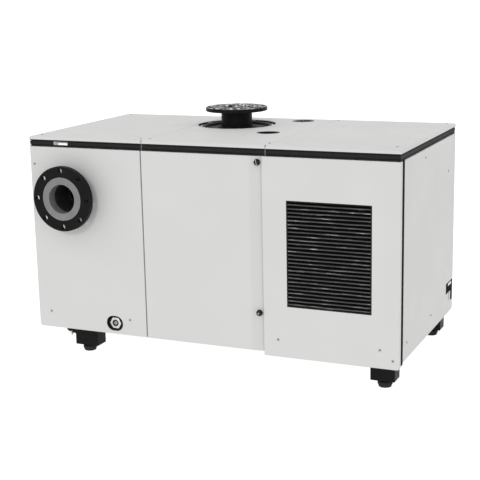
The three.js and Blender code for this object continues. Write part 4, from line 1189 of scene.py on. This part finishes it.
def build_pump_details():
    """Cooling ribs round the pump's barrel and the bolts of its drive-end cover."""
    y, z = PUMP_AXIS
    root, tip, width = PUMP_RIBS["root"], PUMP_RIBS["tip"], PUMP_RIBS["width"]
    ribs = [turned([(root, x), (tip, x + 1.2), (tip, x + width - 1.2), (root, x + width), (root, x)], 0.8,
                   (0, y, z), "x") for x in range(PUMP_RIBS["from"], PUMP_RIBS["to"], PUMP_RIBS["pitch"])]
    piece("pump_barrel_ribs", joined(*ribs), "cabinet", "iron")
    places = [(250.1, a, b) for a, b in circle(y, z, 186, 12, TURN / 24)]
    steel_part("drive_cover_bolts", scattered(hex_head(19, 9), places, (1, 0, 0)))


def build_casing_details():
    """Bolts round the oil casing's cover, and the sight glass and filler plug on its side."""
    cover = Span("oil_casing_cover")
    x0, x1, z0, z1 = cover.low.x + 11, cover.high.x - 11, cover.low.z + 11, cover.high.z - 11
    around = [(x0 + (x1 - x0) * i / 5, z) for i in range(6) for z in (z0, z1)]
    around += [(x, z0 + (z1 - z0) * i / 7) for i in range(1, 7) for x in (x0, x1)]
    places = [(x, cover.low.y - 0.1, z) for x, z in around]
    steel_part("casing_cover_bolts", scattered(hex_head(10, 6, 1.0), places, (0, -1, 0)))
    side = Span("oil_casing").high.x + 0.2
    bezel = turned([(15, 0), (26, 0), (26, 5), (22, 9), (15, 9), (15, 0)], 0.8, steps=56)
    pane = turned([(0, 0.4), (14.6, 0.4), (14.6, 6), (0, 7)], 0.5, steps=48)
    place = aimed((side, *SIGHT_GLASS), (1, 0, 0))
    steel_part("oil_sight_bezel", moved(bezel, place), "brass")
    steel_part("oil_sight_pane", moved(pane, place), "glass")
    steel_part("oil_filler_plug", moved(hex_head(36, 12, 4), aimed((side, *OIL_FILLER), (1, 0, 0))))


def build_motor_details():
    """The motor's cooling fins and the screws of its terminal box."""
    y, z = MOTOR_AXIS
    half = MOTOR_FINS["half"]
    fin = block(MOTOR_FINS["x"], (-half, half), MOTOR_FINS["radius"], 0.5)
    turns = [TURN * k / MOTOR_FINS["count"] for k in range(MOTOR_FINS["count"])]
    fins = [moved(fin, Matrix.Translation((0, y, z)) @ Matrix.Rotation(turn, 4, "X")) for turn in turns]
    piece("motor_fins", joined(*fins), "cabinet", "grey")
    lid = [(x, y + across, z + 215.1) for x in (479, 591) for across in (-61, 61)]
    steel_part("terminal_box_screws", scattered(pan_screw(5), lid, (0, 0, 1)))


def build_oil_lines():
    """Two straight pipes behind the pump join the oil casing to the cooler's tank."""
    casing = Span("oil_casing").high.x
    tank = Span("oil_cooler").low.x
    nut = prism(hexagon(26), (0, 16))
    lines, fittings = [], []
    for z in OIL_LINE_ZS:
        lines.append(rod("x", (0, OIL_LINE_Y, z), 9, (casing + 12, tank - 22), 32))
        fittings.append(moved(nut, aimed((casing + 0.3, OIL_LINE_Y, z), (1, 0, 0))))
        fittings.append(moved(nut, aimed((tank - 18, OIL_LINE_Y, z), (-1, 0, 0))))
        fittings.append(block((tank - 20, tank - 0.3), (370, 414), (z - 14, z + 14), 1.5))
    steel_part("oil_lines", joined(*lines), "steel")
    steel_part("oil_line_fittings", joined(*fittings))


# ---------------------------------------------------------------- cable entry

def build_cable_entry():
    """The black box behind the notch, with a bright lip over it and two cable ends."""
    span = Span("cable_entry")
    face, back = span.high.x, span.high.y
    (wide_y, wide_z), (low_y, low_z), (slot_y, slot_z) = CABLE_NOTCH
    parts = [block((span.low.x, face), (wide_y[0] + 1, back), (wide_z[0] + 1, wide_z[1] - 1), 1.0),
             block((span.low.x, face), (low_y[0] + 1, back), (low_z[0] + 1, low_z[1] + 3), 1.0)]
    parts += [block((face - 0.6, face + 0.8), (wide_y[0] + 14, back - 14), (z, z + 2.0), 0.4)
              for z in (216, 224, 232)]
    black_part("cable_entry_box", joined(*parts), "post", "cable_entry")
    black_part("cable_entry_lip", block((face - 0.5, face + 0.8), (396, 450), (237, 249), 0.4), "zinc")
    x = span.centre.x + 2
    ends = []
    for y, bottom, top in ((sum(slot_y) / 2, slot_z[0] + 2, slot_z[1] + 1), (back - 20, 136, low_z[0] + 2)):
        ends.append(turned([(0, bottom), (4.8, bottom), (5.5, bottom + 2), (5.5, top), (0, top)], 0.6,
                           (x, y, 0), steps=40))
        ends.append(turned([(0, top - 12), (6.4, top - 12), (6.4, top - 6), (0, top - 6)], 0.5,
                           (x - 1, y, 0), steps=6))
    black_part("cable_ends", joined(*ends), "plastic")


# ---------------------------------------------------------------- camera, light and floor

CAMERA_PLACE = (1.98417, -4.50559, 1.58581)
CAMERA_TURN = (23.96, 12.70, -1.22)
CAMERA_LENS = 85.064
KEY_DIRECTION = (-0.18, 1.0, -0.42)
KEY_ENERGY = 0.69
KEY_ANGLE = 8
SKY_STRENGTH = 1.137
FLOOR_REACH = 60.0
FLOOR_GREY = 0.15
FLOOR_GLOW = 1.0


def build_camera():
    """The photograph's viewpoint: to the right of the front and a little above the lid."""
    yaw, pitch, roll = (math.radians(v) for v in CAMERA_TURN)
    forward = Vector((-math.sin(yaw) * math.cos(pitch), math.cos(yaw) * math.cos(pitch), -math.sin(pitch)))
    right = Vector((math.cos(yaw), math.sin(yaw), 0))
    up = right.cross(forward)
    right, up = (math.cos(roll) * right + math.sin(roll) * up, -math.sin(roll) * right + math.cos(roll) * up)
    turn = Matrix((right, up, -forward)).transposed()
    data = bpy.data.cameras.new("camera")
    data.lens = CAMERA_LENS
    data.sensor_width = 36
    data.clip_end = 100
    camera = shown("camera", data)
    camera.matrix_world = Matrix.Translation(CAMERA_PLACE) @ turn.to_4x4()
    bpy.context.scene.camera = camera


def build_studio():
    """A white sky, one soft key from the front right, and a pale floor."""
    world = bpy.data.worlds.new("studio")
    world.use_nodes = True
    background = world.node_tree.nodes["Background"]
    background.inputs["Color"].default_value = (1, 1, 1, 1)
    background.inputs["Strength"].default_value = SKY_STRENGTH
    bpy.context.scene.world = world
    sun = bpy.data.lights.new("broad_key", "SUN")
    sun.energy = KEY_ENERGY
    sun.angle = math.radians(KEY_ANGLE)
    shown("broad_key", sun).matrix_world = Vector(KEY_DIRECTION).to_track_quat("-Z", "Y").to_matrix().to_4x4()
    bpy.context.scene.view_settings.view_transform = "Standard"

    mesh = bpy.data.meshes.new("floor")
    corners = [(-1, -1), (1, -1), (1, 1), (-1, 1)]
    mesh.from_pydata([(a * FLOOR_REACH, b * FLOOR_REACH, 0) for a, b in corners], [], [(0, 1, 2, 3)])
    material, _, shader = principled("pale_floor")
    shader.inputs["Base Color"].default_value = (FLOOR_GREY, FLOOR_GREY, FLOOR_GREY, 1)
    shader.inputs["Emission Color"].default_value = (1, 1, 1, 1)
    shader.inputs["Emission Strength"].default_value = FLOOR_GLOW
    shader.inputs["Roughness"].default_value = 0.9
    shader.inputs["Specular IOR Level"].default_value = 0.1
    mesh.materials.append(material)
    floor = shown("floor", mesh)


# ---------------------------------------------------------------- CAD nodes that stay

def dress_cad_nodes():
    """Gives each CAD node its finish, and softens its edges with modifiers."""
    slots = {row["node"]: row["material_slot"] for row in frame["record"]["subparts"]}
    for name, made in frame["nodes"].items():
        if made.hide_render:
            continue
        made.data.materials.clear()
        # corner posts in the near-black finish: painted shade for the slots beside them
        finish = "post" if name.startswith("corner_post") else SLOT_MATERIAL[slots[name]]
        made.data.materials.append(MATERIALS[finish])
        planar = made.modifiers.new("merge_flats", "DECIMATE")
        planar.decimate_type = "DISSOLVE"
        planar.angle_limit = math.radians(1)
        bevel = made.modifiers.new("eased_edges", "BEVEL")
        bevel.width = 0.8 * MM
        bevel.segments = 2
        bevel.limit_method = "ANGLE"
        bevel.angle_limit = math.radians(40)
        bevel.harden_normals = False


# ---------------------------------------------------------------- assembly

build_camera()
build_studio()
build_panels()
build_top_covers()
build_door()
build_screws()
build_rails()
build_exhaust()
build_inlet()
build_drain()
build_latches()
build_grille("front_grille", "front", 27)
build_grille("rear_grille", "rear", 16)
build_feet()
build_cable_entry()
build_pump_details()
build_casing_details()
build_motor_details()
build_oil_lines()
dress_cad_nodes()

bpy.context.view_layer.update()
